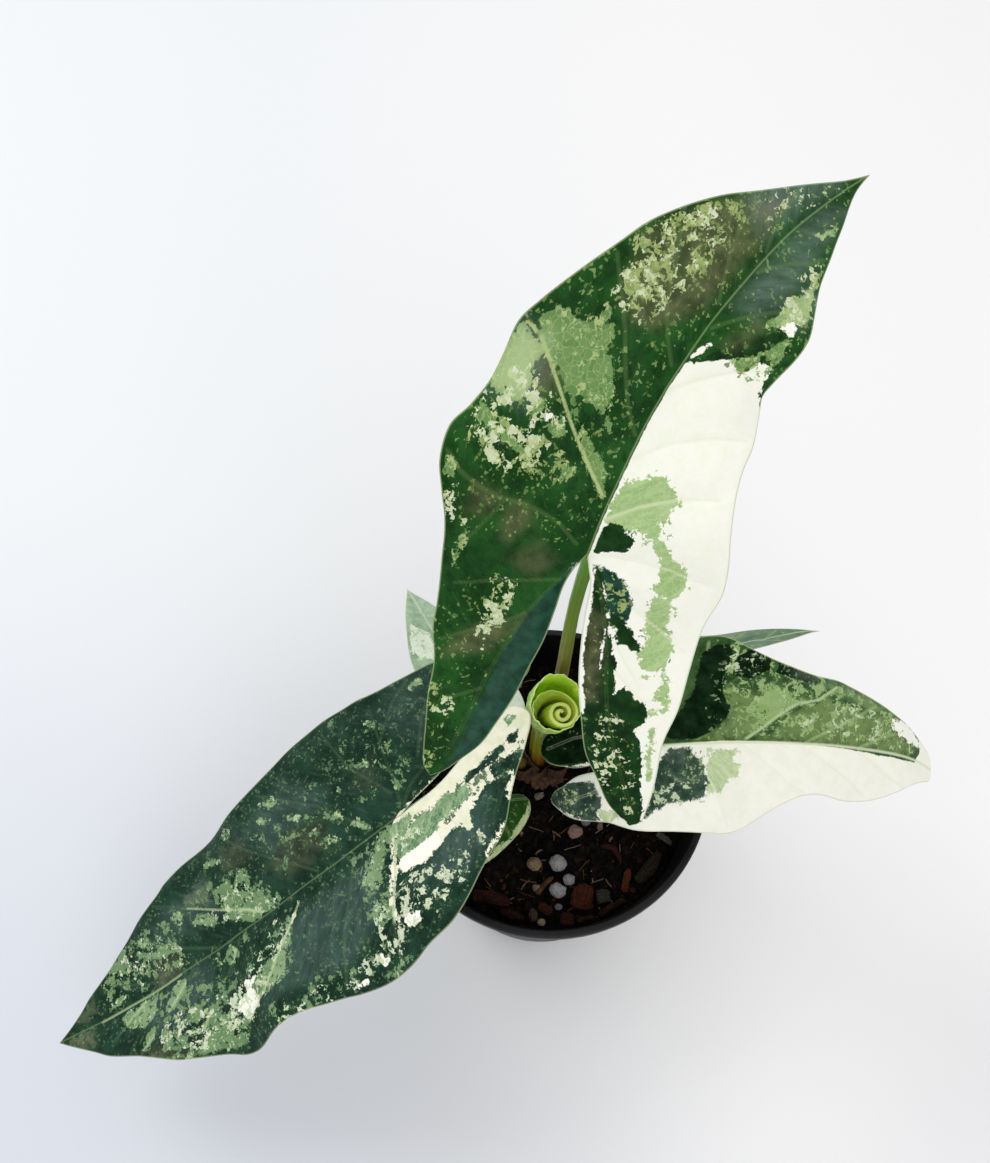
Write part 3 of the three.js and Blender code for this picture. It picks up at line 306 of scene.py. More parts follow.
PATCHES = {
    "upper": dict(
        cream=["-1 -.4 20 -.5 40 -.5 58.5 -.5 64 -6.5 68 -11 66 -12 66 -15 69 -16.5 73 -17 72 -20 66 -21.5 63.5 -23 58 -29 45 -32 20 -37 0 -43 -40 -43 -88 -43 -90 -30 -80 -24 -62 -12 -40 -5 -20 -1 -8 0",
               (29.5, 31.5, 23.5, 25), "82 -15 85 -14.5 86.5 -16.5 86 -18.5 83 -18.7 81.5 -18.3 82.5 -16.5", "60 -.5 64 -1.5 66 -3 63.5 -2.5 60 -1.5",
               "-3 3 -9 4.3 -16 4.5 -16 3.6 -9 3.4 -3 2.2"],
        dark=["-3 -3 -9 -4.5 -18 -6 -24 -6.5 -30 -7 -38 -8.5 -50 -11.5 -60 -14 -66 -16 -72 -20 -79 -25 -84 -31 -87 -35 -85 -38 -80 -38 -76 -36.5 -68 -34.5 -62 -33 -56 -31.5 -53 -30.5 -52.5 -28.3 -49 -28.3 -46 -30 -43 -30 -40.5 -28.5 -40 -25.5 -38.5 -24.5 -38 -23 -36 -21.3 -39 -20 -40 -19.3 -36 -18.8 -33 -17.5 -29 -17 -27 -15.5 -24.5 -14.5 -20 -12 -16 -10.5 -12 -9 -6 -6.5 -3 -4",
              "-12 -12 -15 -12 -16 -15 -18 -18 -20.5 -20 -21.5 -22 -24 -22.3 -24.7 -20 -23.5 -18 -24 -16 -22 -15 -20 -14.5 -18 -12.5 -16 -11",
              "1.8 -1.2 2.4 -3.6 3.6 -5.6 4.2 -8.4 6.6 -10.2 9 -10.8 10.8 -9.4 10.4 -7.2 12 -5.6 11.8 -3.2 10 -1.4 6 -1.2",
              # the last dark patch is painted shadow along a fold beside the white
              "65 -5 72 -9 78 -13 82 -15 81 -17.5 77 -16.5 72 -14.5 68 -11 63 -6 59 -1.5"],
        mint=["37 21.5 40 26 42.5 31 45 35.5 47.5 38 49 37.5 50.5 36 52 36.5 52.5 33 51 31.5 52 28 53.5 26.5 54.5 23.5 56 22 55 20 53.5 19.5 51 19.2 50 18.5 49.8 17.2 48 16 46 14 44 12.5 42 11 40 11.2 38 12 37.8 13.5 38.5 15.5 38.3 17.5 38.5 19.5 37.8 20.8",
              "55 22 58.5 24.5 57 26 54.5 25",
              "31 40 31.5 41 45 42 46.5 41 44.5 36 43 32.5 41 34 39.5 33 38 32 36 31.5 34 32 31 32.5 30.5 34.5 31.5 36.5 31 38.5",
              "17.5 2.2 19.5 4 22 7.5 25 10.5 28 14 31 14 30.5 11.5 28.5 9 27 6 24.5 4.7 21 3 18.5 2",
              "30 13 34 18.5 38.5 24 38 21.5 34.5 17 31.5 13.5",
              "27.5 21 29 23 31 22 32 20.5 31 18.5 29 18 27.5 19.5", "28 26 30 28.5 33 29 34 27 32 25.5 30 26.5", "33.5 8 36 12 37.5 12 37 10 35.5 8.5 34 7.5",
              "18.5 14 23 16 22 12.5", "18 19 21 24 19.5 24", "22 26 25 35 23.5 35 21 28", "22 32 26 36 28 41 25 41 22.5 36",
              "80 -12 86 -12 92 -12.5 97 -14 103 -12.5 106 -13.5 100 -15.5 95 -17 91 -19 87 -19 86.5 -16 83 -14.5", "112 -5 118 -6 120 -7.5 116 -8 113 -6.5",
              "66.5 -10 71 -12 75 -15 80 -17 82 -18 82 -19.5 78 -20 74 -20 72.5 -19.5 74 -17.5 72.5 -16.3 69 -16.2 66.5 -15 65.5 -12.5",
              "11.5 -1 22 -1 26 -4.5 29.8 -10.5 27 -14 24.5 -17 20 -15.5 16 -14.5 13.5 -15.5 11.5 -18 11 -20.5 8 -22 7.5 -24.5 4 -27 0 -29 -3 -27.5 -5 -25 -4.5 -20.5 0 -20.3 5 -19 8 -17.5 9.5 -15.5 11.5 -14 9 -13 12.5 -12 13 -8 11.5 -5",
              "-4.5 -20.5 -5 -24 -7 -27 -10 -27.5 -14 -27 -18 -28 -19 -30 -22 -31 -26 -31 -28 -29 -30 -28 -29.5 -25 -28 -23.5 -26 -24 -26.5 -22 -23 -23 -20 -23 -17 -21.5 -13 -20.5 -9 -21.5",
              (-33, -31, -27, -25.5), "-27 -30.5 -30 -31 -33 -31.5 -36 -31 -38.5 -30.5 -38 -33.5 -40 -35 -41 -33 -41 -30.5 -44 -30.5 -40 -36 -33 -34",
              "-48 -32.5 -56 -33 -62 -34.5 -68 -36 -66 -37 -60 -36 -54 -35 -48 -34",
              "11 41 15 41.5 14 44.5 11.5 44", "-13 35 -8 35 -3 34.5 0 33.5 -4 33.2 -9 33.8"],
        olive=[],
        # the first teal patch is painted shade on the left lobe's inner panel, bent down along the costa
        teal=["0 2 -9 5 -22.5 11.5 -43 15.6 -62 19 -76 22.4 -82 24 -69 14.5 -50 8 -30 4.2 -10 3.4",
              "-2 -2.2 -1.5 -5 -2.5 -9 -4 -12 -7 -14.5 -11 -16 -14 -16.6 -18 -15.5 -20 -13.2 -14 -10 -8 -7.2 -4 -4.6"],
        white=["-3 -3.4 -14 -4.9 -30 -7.6 -50 -13 -50 -11.6 -39 -8.2 -29.5 -6.2 -18 -4.4 -8 -3.2", "-20 -11.5 -27 -12.8 -34 -14 -34 -13.4 -27 -12 -20 -10.9"],
        lace=[("17.5 10 25.5 14 26.5 40 20 42 17 30", .40), ("-2 -1.5 -1.5 -4 -3 -12 -10 -16.5 -20 -14 -19 -10 -10 -7 -4 -4", .30),
              ("60 22 63 26 74 29 86 26 96 18.5 99 12 86 9 74 10.5 62 14", .46), ("30 31 36 30 46 34 46 42 31 42", .42),
              ("10 -1 30 -1 30 -12 24 -18 12 -20 4 -28 -20 -32 -32 -32 -30 -22 0 -19 10 -14", .16), ("64 -9 83 -15 84 -20 70 -21 64 -18", .34),
              ("-12 16 -28 16 -28 24 -12 23", .40), ("-50 30 -60 30 -62 36 -50 36", .34), ("-72 27 -84 28 -87 33 -74 32", .40), ("-64 24 -70 24 -70 30 -64 31", .3)],
        pale=[("17 20 32 19 40 34 36 42 22 42 15 30", .36), ("58 14 76 10 92 12 92 22 74 30 60 26", .30), ("100 3 128 1 116 8 100 14", .22),
              ("-12 16 -28 16 -28 24 -12 23", .52), ("-29 19 -37 20 -36 25 -28 24", .50), ("-54 24 -61 25 -61 31 -54 32", .36), ("-74 27.5 -84 28 -87 33 -75 32", .34),
              ("0 30 14 36 14 44 2 42", .26), ("-46 -20 -56 -21 -66 -23 -66 -28 -56 -27 -48 -26", .25), ("-48 -17.4 -58 -18 -66 -19 -73 -23 -72 -26 -60 -22.4 -50 -20.6", .46), ("-62 -24 -84 -33 -86 -37 -72 -35 -60 -30", .22), ("84 -12 106 -9 112 -12 96 -18 86 -19", .36)],
        sheen=[("78 -2 118 -1 126 -5 104 -11 90 -12 80 -8", .50), ("98 4 128 2 122 9 106 17 98 15", .62), ("-16 8 -60 19 -78 23 -70 16 -40 8", .12), ("84 -13 100 -13 100 -19 86 -19", .50),
               ("31 31 40 30 46 34 46 42 31 42", .55)],
        # brown patches: painted brown sheen, a warm reflection on the leaf
        brown=[("60 12 72 4 98 3.5 110 7 96 18 76 28 62 24 58 18", .56), ("38 25 36 28 35 32 43 33 41 28", .75), ("-42 31 -36 28 -30 24 -26 16 -23 11.5 -28 14 -35 18 -38 23 -40 28", .62),
               ("0 24 4 24.5 9 24 9.5 20 6 18 3 20 0 22", .6), ("5 35 11 35 10 27 7 28 5 31", .5), ("-16 -6 -30 -8 -44 -10.5 -44 -14.5 -30 -12.5 -18 -9.5", .62), ("68 -6 80 -9 80 -12 70 -9.5", .5), ("-3 8 -10 12 -6 20 2 14", .4)],
        speck=[("2 1 60 3 60 42 10 47 0 40", .30), ("60 2 141 0 110 12 80 30 60 36", .40), ("-88 28 -60 20 -30 14 -4 40 -40 38 -86 34", .17),
               ("60 -1 141 0 110 -14 85 -24 64 -24", .22), ("-88 -36 -60 -14 -4 -3 -8 -8 -40 -18 -60 -32", .22)]),
    "lower_left": dict(
        cream=["-45 9 -35 9.1 -30 9.4 -27 10.9 -23.6 13 -21.4 14.8 -21.4 17.3 -20 18.1 -18.2 17.3 -18.2 15.1 -15 15.1 -11.4 15.5 -8.6 16.6 -5.7 17.3 -2.9 18.6 0 19.1 2.1 18.4 4.3 17.6 8.6 17.1 8.9 16.2 7.9 13 5.7 12.3 5.5 7 6 2.5 3 .4 0 -1 -12 -2 -25 -5 -40 -8 -52 -10 -60 -5 -58 2",
               "-42 10 -40.5 14 -36.5 18 -35.2 17 -39 12.5", "-30 22.3 -25 24.6 -20 27 -20 28.4 -26 26 -31 22.8",
               "4.4 4.4 6.5 9.5 9.2 15 12.6 20 15.4 25 16.4 30 18.4 29 17.6 24 14 18 11.2 13 8.2 8 6.4 4", "49.4 2.3 54 5.5 60 9 66 14 71.6 19.6 72.6 21 65 16 58 9.8 51 4.6"],
        mint=["-13 5 -4 4.6 6 5 6 12.6 0 13 -8 12.4 -13 10", "-26 4.4 -18 4 -11 4.6 -11.4 9.4 -18 10 -26 8", "-3 1 4 1.2 9.4 1 9 5.8 3 5.4 -3 4.4",
              "16.8 25.9 19.3 27.6 24.3 27.6 24.6 25.9 22.1 24.4 24.3 21.6 22.9 20.5 18.6 20.9 20 23 16.4 24.4",
              "8.6 1.6 10 6.6 12.1 10.1 15 14.4 18.6 16.6 20.7 15.9 20 13.7 23.6 13 21.4 10.9 17.9 9.4 15 7.3 13.6 5.1 10.7 2.3 9.3 .9",
              (-52, -48, -5.6, -3.4), "12 -3.4 14 -3.6 18 -7 18 -8.4 15.5 -8 13 -5.6", "23.6 -5.6 26 -6 29.3 -8.2 29.3 -9 26 -8.4", "29 -11.3 31 -11.6 33.6 -13.6 33 -14 30 -13", "37 -15.2 40 -15.4 44 -17 43.6 -17.6 40 -17.2 37.4 -16.4",
              "19.3 -10.6 22 -12 25.7 -15.4 24.8 -16 21 -14", "14 -18.4 15 -18.6 16.4 -20.2 15.4 -20.6", "-2 -20 2 -20.6 7 -23 6.4 -24 1 -23", "34 -20.6 38 -21 41 -23 38 -23.4", "45.7 -26.6 48 -27 50.7 -29 49 -29.5 46.6 -28.4",
              "40 -30 44 -31 47 -33.4 45 -34 41 -32.4", (5.7, 9.3, -42.7, -40.6), (-31.4, -26.4, -35, -32), (-6.4, -3.6, -12, -7), (-8.6, -5.7, -33.4, -30.6),
              "19 40.4 26 40.8 32 41 32 42.6 24 43 18.6 42.4",
              "55.9 6.6 58.7 11.6 62.3 16.6 64.4 20.1 69.4 23.7 75.1 24.8 79.4 24.8 81.6 26.6 88 28 92.3 29.1 95.1 27.6 90.9 26.6 90.1 24.4 93.7 23.7 90.9 22.3 88.7 20.1 83.7 19.4 80.1 16.6 76.6 17.3 73 15.9 68 14.4 63.7 13 60.1 9.4 56.6 5.9",
              "92.3 33.7 98 33 102.3 31.9 105.1 30.9 109.4 29.4 114.4 28.7 118.7 25.9 112.3 26.6 108.7 25.9 106.6 24.4 107.3 21.6 105.1 19.4 104.4 16.6 103 17.3 98 19.4 97.3 21.6 93.7 21.6 98 25.1 95.1 27.3 98 29.4 93.7 30.1",
              "116.6 23.7 119.4 24.4 122.3 22.3 123.7 19.4 125.1 15.9 123 15.9 121.6 18 119.4 20.1 118.7 22.3", "127 11.6 130 12 133.7 15 133.4 18 130 18 128 15",
              "85 12.3 89 12.5 93.7 14.4 93 15.9 88 15.6", (82, 89.4, 2.3, 8), (75, 78, 1.6, 4.4), "92.3 1.6 94.4 8 93.2 8 91.6 2", "108.7 2.3 110.1 5.9 113.7 8 119.4 10.1 121.6 8.7 120.1 5.9 116.6 5.1 115.9 2.3",
              "123 1.6 132 1.6 141.6 2.4 140 7 132 10 126 9", "58 -.6 71.6 -.6 76.6 -3.4 80.9 -7 82.3 -9.1 78 -8.4 81.6 -12 79.4 -14.9 82.3 -16.3 84.4 -20.6 79.4 -18.4 76.6 -17.7 73 -14.9 70.9 -12 66.6 -10.2 62.3 -8.4 60.1 -5.6 59.4 -2.7",
              "85 -7.7 91 -9 96.6 -12.6 96 -14 90 -13 86 -10.6", "106.6 -7.7 113 -8 120 -10.6 119.6 -12.7 113 -12.4 108 -10.4", (107, 111.6, -4.9, -2), "99.4 -15.6 102 -16 105 -19 104 -20.6 101 -19",
              (64.4, 70.9, -18.4, -14), "71.6 -14.9 75 -15.4 78.7 -18 77.6 -19 73 -17.6", "116.6 -14.9 121 -15.4 126.6 -18.6 125 -20.6 119 -18.4", "128.7 -11.3 135 -11.6 143 -15 141 -18.6 134 -20.6 130 -16",
              "75 -26.3 79 -26.6 83.7 -29 82 -29.9 77 -28.8", (64.4, 71, -34.5, -32.4), "48 -26.4 50 -28.6 48.6 -29 46 -27"],
        olive=["110 30.6 122 25 137 17.2 137 19.4 122 27.4 111 31", "153.7 1 165 .6 160 6.2 154 7.3", "151 -3.4 159.4 -3 158 -7 151 -9",
               "85.1 -17.7 88 -16.3 93.7 -18.4 97.3 -20.6 97.3 -22.7 93.7 -23.4 88 -24.1 84.4 -22.7", "110 -.6 123.7 -.6 122 -4.4 112 -4.9"],
        dark=["-45 5 -35 5 -35 9 -45 9.2 -47 7", "-50 0 -45 0 -45 2.3 -49 2.2", "-44 .6 -36 1.4 -26 2.4 -26 4.6 -34 4 -43 3.6", "10.7 9.4 15 14.4 13 14 10.6 11", "85 -13.4 92 -15 98 -17 92 -16.8 86 -14.8"],
        white=["-9 12.8 0 13.2 7.6 12.8 8.6 16.4 0 18.6 -5 17 -9 16", "7.5 34.1 9.3 34.4 11.4 34.1 13.6 33 15 31.2 13.6 30.1 13.2 28.9 11.4 29.4 10.7 30.9 8.9 30.5 7.9 31.6 8.6 32.6",
               "26.8 38.7 30 38.9 30 37.3 33.2 36.9 32.9 36.2 30 36.6 28.9 34.8 27.9 35 28.2 36.9 26.4 37.3", "38 38.7 43 38.8 43 40.1 38 40",
               "81.6 26.2 85.1 26.6 88.7 27.6 90.1 25.9 90.1 23.7 93.7 23.4 91.6 22.3 89.1 20.5 85.9 20.1 83.7 18.7 84.1 16.6 83 15.9 80.9 16.6 76.6 16.6 79.4 18.4 81.6 19.4 80.1 20.9 80.9 23 80.1 24.4"],
        pale=[("-22 19 -6 20 8 19 16 24 14 35 0 34 -12 30 -24 24", .42), ("16 22 24 20 26 30 40 34 44 39 22 40 14 36", .32), ("-6 6 6 6 6 11 -6 11", .46), ("74 12 96 18 98 28 84 30 70 22", .40),
              ("96 14 124 10 126 22 112 30 96 28", .32), ("62 3 76 10 70 18 56 10", .22), ("106 -2 145 -2 145 -16 120 -20 106 -14", .20), ("56 -1 84 -6 90 -14 78 -20 60 -8", .26),
              ("40 34 74 28 74 37 44 40", .20)],
        sheen=[("-60 -12 -20 -14 -6 -36 -40 -38", .16), ("20 -22 50 -16 64 -28 34 -36", .24), ("14 6 60 8 78 26 40 32 20 24", .30), ("-30 12 -14 14 6 22 -10 30 -24 24", .34), ("96 2 140 2 124 16 100 16", .28), ("84 -10 120 -12 110 -24 84 -24", .22)],
        # brown patches: painted brown sheen, a warm reflection on the leaf
        brown=[("26 -5 50 -6 56 -13 44 -19 28 -16", .40), ("60 -20 76 -22 74 -31 62 -30", .4), ("106 -3 122 -4 120 -10 108 -9", .4), ("0 -14 10 -15 8 -22 -2 -22", .25), ("110 27 130 18 130 22 114 29", .5)],
        lace=[("-50 0 -26 2 -12 4 8 2 8 13 -10 13 -26 10 -48 9", .50), ("88 10 125 2 125 28 92 34 90 20", .46), ("56 3 90 15 92 28 60 22", .30), ("56 -1 84 -6 98 -14 98 -24 70 -20 58 -8", .42),
              ("104 -2 145 -2 145 -18 128 -22 106 -20", .44), ("8 1 26 3 26 28 14 26 8 12", .40), ("-14 -8 10 -10 12 -34 -10 -30", .22), ("14 -4 56 -6 60 -26 24 -30", .18), ("24 30 76 28 80 36 30 40", .28)],
        speck=[("-60 -6 170 0 140 20 90 40 20 46 -20 30", .34), ("-70 -17 170 0 130 -22 80 -38 20 -48 -40 -38", .34)]),
    "right": dict(
        cream=["-2 0 20 .6 40 .2 60 -.6 80 -1.4 97 -1 101 5 97 11 125 12 125 -12 90 -24 40 -30 -20 -32 -50 -24 -50 -12 -40 -8 -20 -4 -8 -2", (-6, -1, -3, .5),
               "81 11.6 85 11.6 94 9.8 99.3 7 101 4.4 95.6 4.4 88.4 6.2 81 8"],
        mint=["14.7 -2 24.7 -2.9 22.9 -4.7 21.1 -5.6 24.7 -7.5 24.7 -11.1 19.3 -12.9 17.5 -16.5 13.8 -16.5 12.9 -12.9 14.7 -7.5", (-25, -18, -25, -20),
              "31 4.4 35 6 40 10 47.5 14.2 40.2 17 35.6 18.4 31.1 15.8 30 10"],
        olive=["10.2 1.4 15.6 3.5 21.5 7.5 22.5 11.2 21.1 16.6 23.8 18.5 28.4 17.1 31.1 16.2 35.6 18.9 40.2 17.5 48.4 14.4 42.9 11.6 38.4 8 33.8 4.4 30.2 1.4",
               "43 23 55 20.8 66 19 76 15.4 83 13 82 11 70 14 56 19 44 21", "34 1.4 60 0 84 0 97 2 88 6 74 13 54 15 42 9"],
        dark=["10.2 15.3 14.7 29.8 19.3 33.5 23.8 32.5 22.9 26.2 21.1 21.6 20.2 17.1 22 11.6 21.1 8 15.6 3.5 10.2 1.6 6.5 1.6 1.1 2.5 .2 4.4 5.6 9.8 8.4 14.4",
              "-46 .5 -44 8 -30 15 -18 25 -10 28 -9 14 -14 4 -24 -3.6 -40 -4", "24 22 30 21 35 24 36 29 30 31 25 28", "37 23 44 21 52 20 54 22 46 24.5 38 26.5",
              "-36 -6.8 -28 -5.4 -28 -6.6 -36 -8"],
        teal=["-2.5 -4.7 2.9 -1.1 8.6 -1.1 11 -4.4 12.6 -8 13.6 -12.9 12.8 -17 9 -18.8 4 -19 -.7 -19.3 -8 -22.9 -9.8 -24.7 -8 -20.2 -4.4 -12.9",
              "-43.5 -16.5 -42.5 -12.9 -37.1 -10.2 -27.1 -10.2 -25.3 -12.9 -23.5 -18.4 -26.2 -21.1 -25.3 -23.8 -31.6 -23.8 -37.1 -21.1 -41.6 -18.4"],
        white=["-37 -9.2 -30 -8.6 -26 -8 -26 -9.6 -32 -10 -37 -10", "-38 -4.6 -30 -5.2 -26 -4.4 -27 -3.6 -33 -4.2"],
        pale=[("-8 -12 8 -12 12 -19 4 -20 -8 -23", .28), ("-42 -12 -26 -12 -26 -22 -38 -20", .20), ("44 6 70 2 96 2 90 8 60 17 48 13", .26), ("21 22 34 22 34 31 23 31", .22)],
        sheen=[("44 22 76 14 76 17 46 26", .35)],
        lace=[("19 16 39 16 39 32.5 20 33", .40), ("37.5 14.4 56.5 14.4 56.5 25.3 40 26", .45), ("24 2 31 4 31 17 24 17", .4), ("30 2 100 1 86 12 58 22 44 13", .34), ("-10 -4 14 -2 14 -20 -8 -24", .14), ("-43 -12 -26 -12 -26 -22 -40 -20", .2)],
        speck=[("-50 2 8 2 9 14 -10 32", .08), ("14 2 118 0 80 16 40 32 20 34", .34), ("-8 -4 14 -2 14 -20 -8 -24", .26), ("-43 -11 -26 -11 -26 -23 -40 -20", .45)]),
    "back_right": dict(cream=[], mint=["0 3 20 4 36 10 22 18 4 16"], olive=["-12 4 10 2 12 20 -8 18", "40 6 60 3 54 13 42 15"],
                       dark=[], white=[], lace=[("-20 -24 40 -24 40 24 -20 24", .22)], speck=[("-20 -24 85 -24 85 24 -20 24", .25)]),
    "back_left": dict(cream=["-24 -4 0 -1 10 -8 6 -18 -10 -18 -22 -12", "30 3 48 2 54 7 40 12 32 11"], mint=["12 -2 30 -3 34 -12 16 -14"], olive=["-24 4 -6 3 -6 17 -20 14"],
                      teal=["30 -1.5 44 -1 46 -7 40 -10 32 -7"], dark=[], white=[], lace=[("-24 -18 80 -18 80 18 -24 18", .26)], speck=[("-24 -18 80 -18 80 18 -24 18", .3)]),
    "small_low": dict(cream=["-8 9 0 13.6 12 14.6 24 11 34 6.6 44 0 34 4.6 22 9.4 10 12.4 0 11.6"], mint=["6 -2 18 -2 26 -6 16 -9 8 -7"], olive=[], dark=[], white=[],
                      lace=[("-8 -14 44 -14 44 0 -8 0", .16)], speck=[("-8 -14 44 -14 44 14 -8 14", .18)]),
}


def shape_of(item):
    return pts(item) if isinstance(item, str) else box(*item)


# ---------------------------------------------------------------- meshes
def mesh_object(name, v, tris, attrs=None, vectors=None, sharp=None):
    """A smooth shaded mesh from vertices in mm and triangles."""
    v, tris = np.asarray(v, float), np.asarray(tris, np.int32)
    me = bpy.data.meshes.new(name)
    me.vertices.add(len(v))
    me.vertices.foreach_set("co", (v * MM).astype(np.float32).ravel())
    me.loops.add(len(tris) * 3)
    me.loops.foreach_set("vertex_index", tris.ravel())
    me.polygons.add(len(tris))
    me.polygons.foreach_set("loop_start", np.arange(0, len(tris) * 3, 3, dtype=np.int32))
    me.polygons.foreach_set("use_smooth", np.ones(len(tris), bool))
    me.update(calc_edges=True)
    for key, arr in (attrs or {}).items():
        me.attributes.new(key, "FLOAT", "POINT").data.foreach_set("value", np.asarray(arr, np.float32))
    for key, arr in (vectors or {}).items():
        me.attributes.new(key, "FLOAT_VECTOR", "POINT").data.foreach_set("vector", np.asarray(arr, np.float32).ravel())
    if sharp is not None:
        me.set_sharp_from_angle(angle=math.radians(sharp))
    ob = bpy.data.objects.new(name, me)
    bpy.context.scene.collection.objects.link(ob)
    return ob


def weld(v, tris, *cols):
    """Joins vertices at the same place, and drops triangles that collapse."""
    key = np.round(v, 4)
    _, first, back = np.unique(key, axis=0, return_index=True, return_inverse=True)
    back = back.ravel()
    tris = back[tris]
    ok = (tris[:, 0] != tris[:, 1]) & (tris[:, 1] != tris[:, 2]) & (tris[:, 0] != tris[:, 2])
    return (v[first], tris[ok]) + tuple(c[first] for c in cols)


def grid_tris(ids, flip=False):
    a, b, c, d = ids[:-1, :-1].ravel(), ids[1:, :-1].ravel(), ids[1:, 1:].ravel(), ids[:-1, 1:].ravel()
    t = np.concatenate([np.stack([a, b, c], 1), np.stack([a, c, d], 1)])
    return t[:, [0, 2, 1]] if flip else t


def fix_normals(ob):
    bm = bmesh.new()
    bm.from_mesh(ob.data)
    bmesh.ops.recalc_face_normals(bm, faces=bm.faces)
    bm.to_mesh(ob.data)
    bm.free()


def wobble(x, y, seed, scale=1.0):
    """A smooth repeatable unevenness between about -1 and 1."""
    r = np.random.default_rng(seed)
    out = 0
    for _ in range(6):
        a, k, p = r.uniform(0, 2 * np.pi), r.uniform(0.6, 1.5) * scale, r.uniform(0, 2 * np.pi)
        out = out + np.sin(k * (x * np.cos(a) + y * np.sin(a)) + p)
    return out / 3.2


def finish_piece(ob, mat, slot, *nodes):
    ob.data.materials.clear()
    ob.data.materials.append(mat)
    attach(ob, "root")
    if nodes:
        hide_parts(*nodes)
    return ob


# ---------------------------------------------------------------- blades
def default_veins(leaf):
    L, w = leaf["length"], leaf["length"] * leaf["wide"] * 0.27
    main = []
    for side in (1, -1):
        for f in (0.04, 0.22, 0.4, 0.58, 0.75):
            s = f * L
            main.append(" ".join("%g %g" % (s + k * L * 0.16, side * k * w * (1.15 - f * 0.9)) for k in (0.0, 0.35, 0.7, 1.0)))
    lobe = outline_of(leaf, 1)[1][0]
    costa = [" ".join("%g %g" % (lobe[0] * k * 0.9, side * (abs(lobe[1]) * 1.25 * k)) for k in (0, 0.3, 0.65, 1)) for side in (1, -1)]
    return dict(main=main, costa=costa)


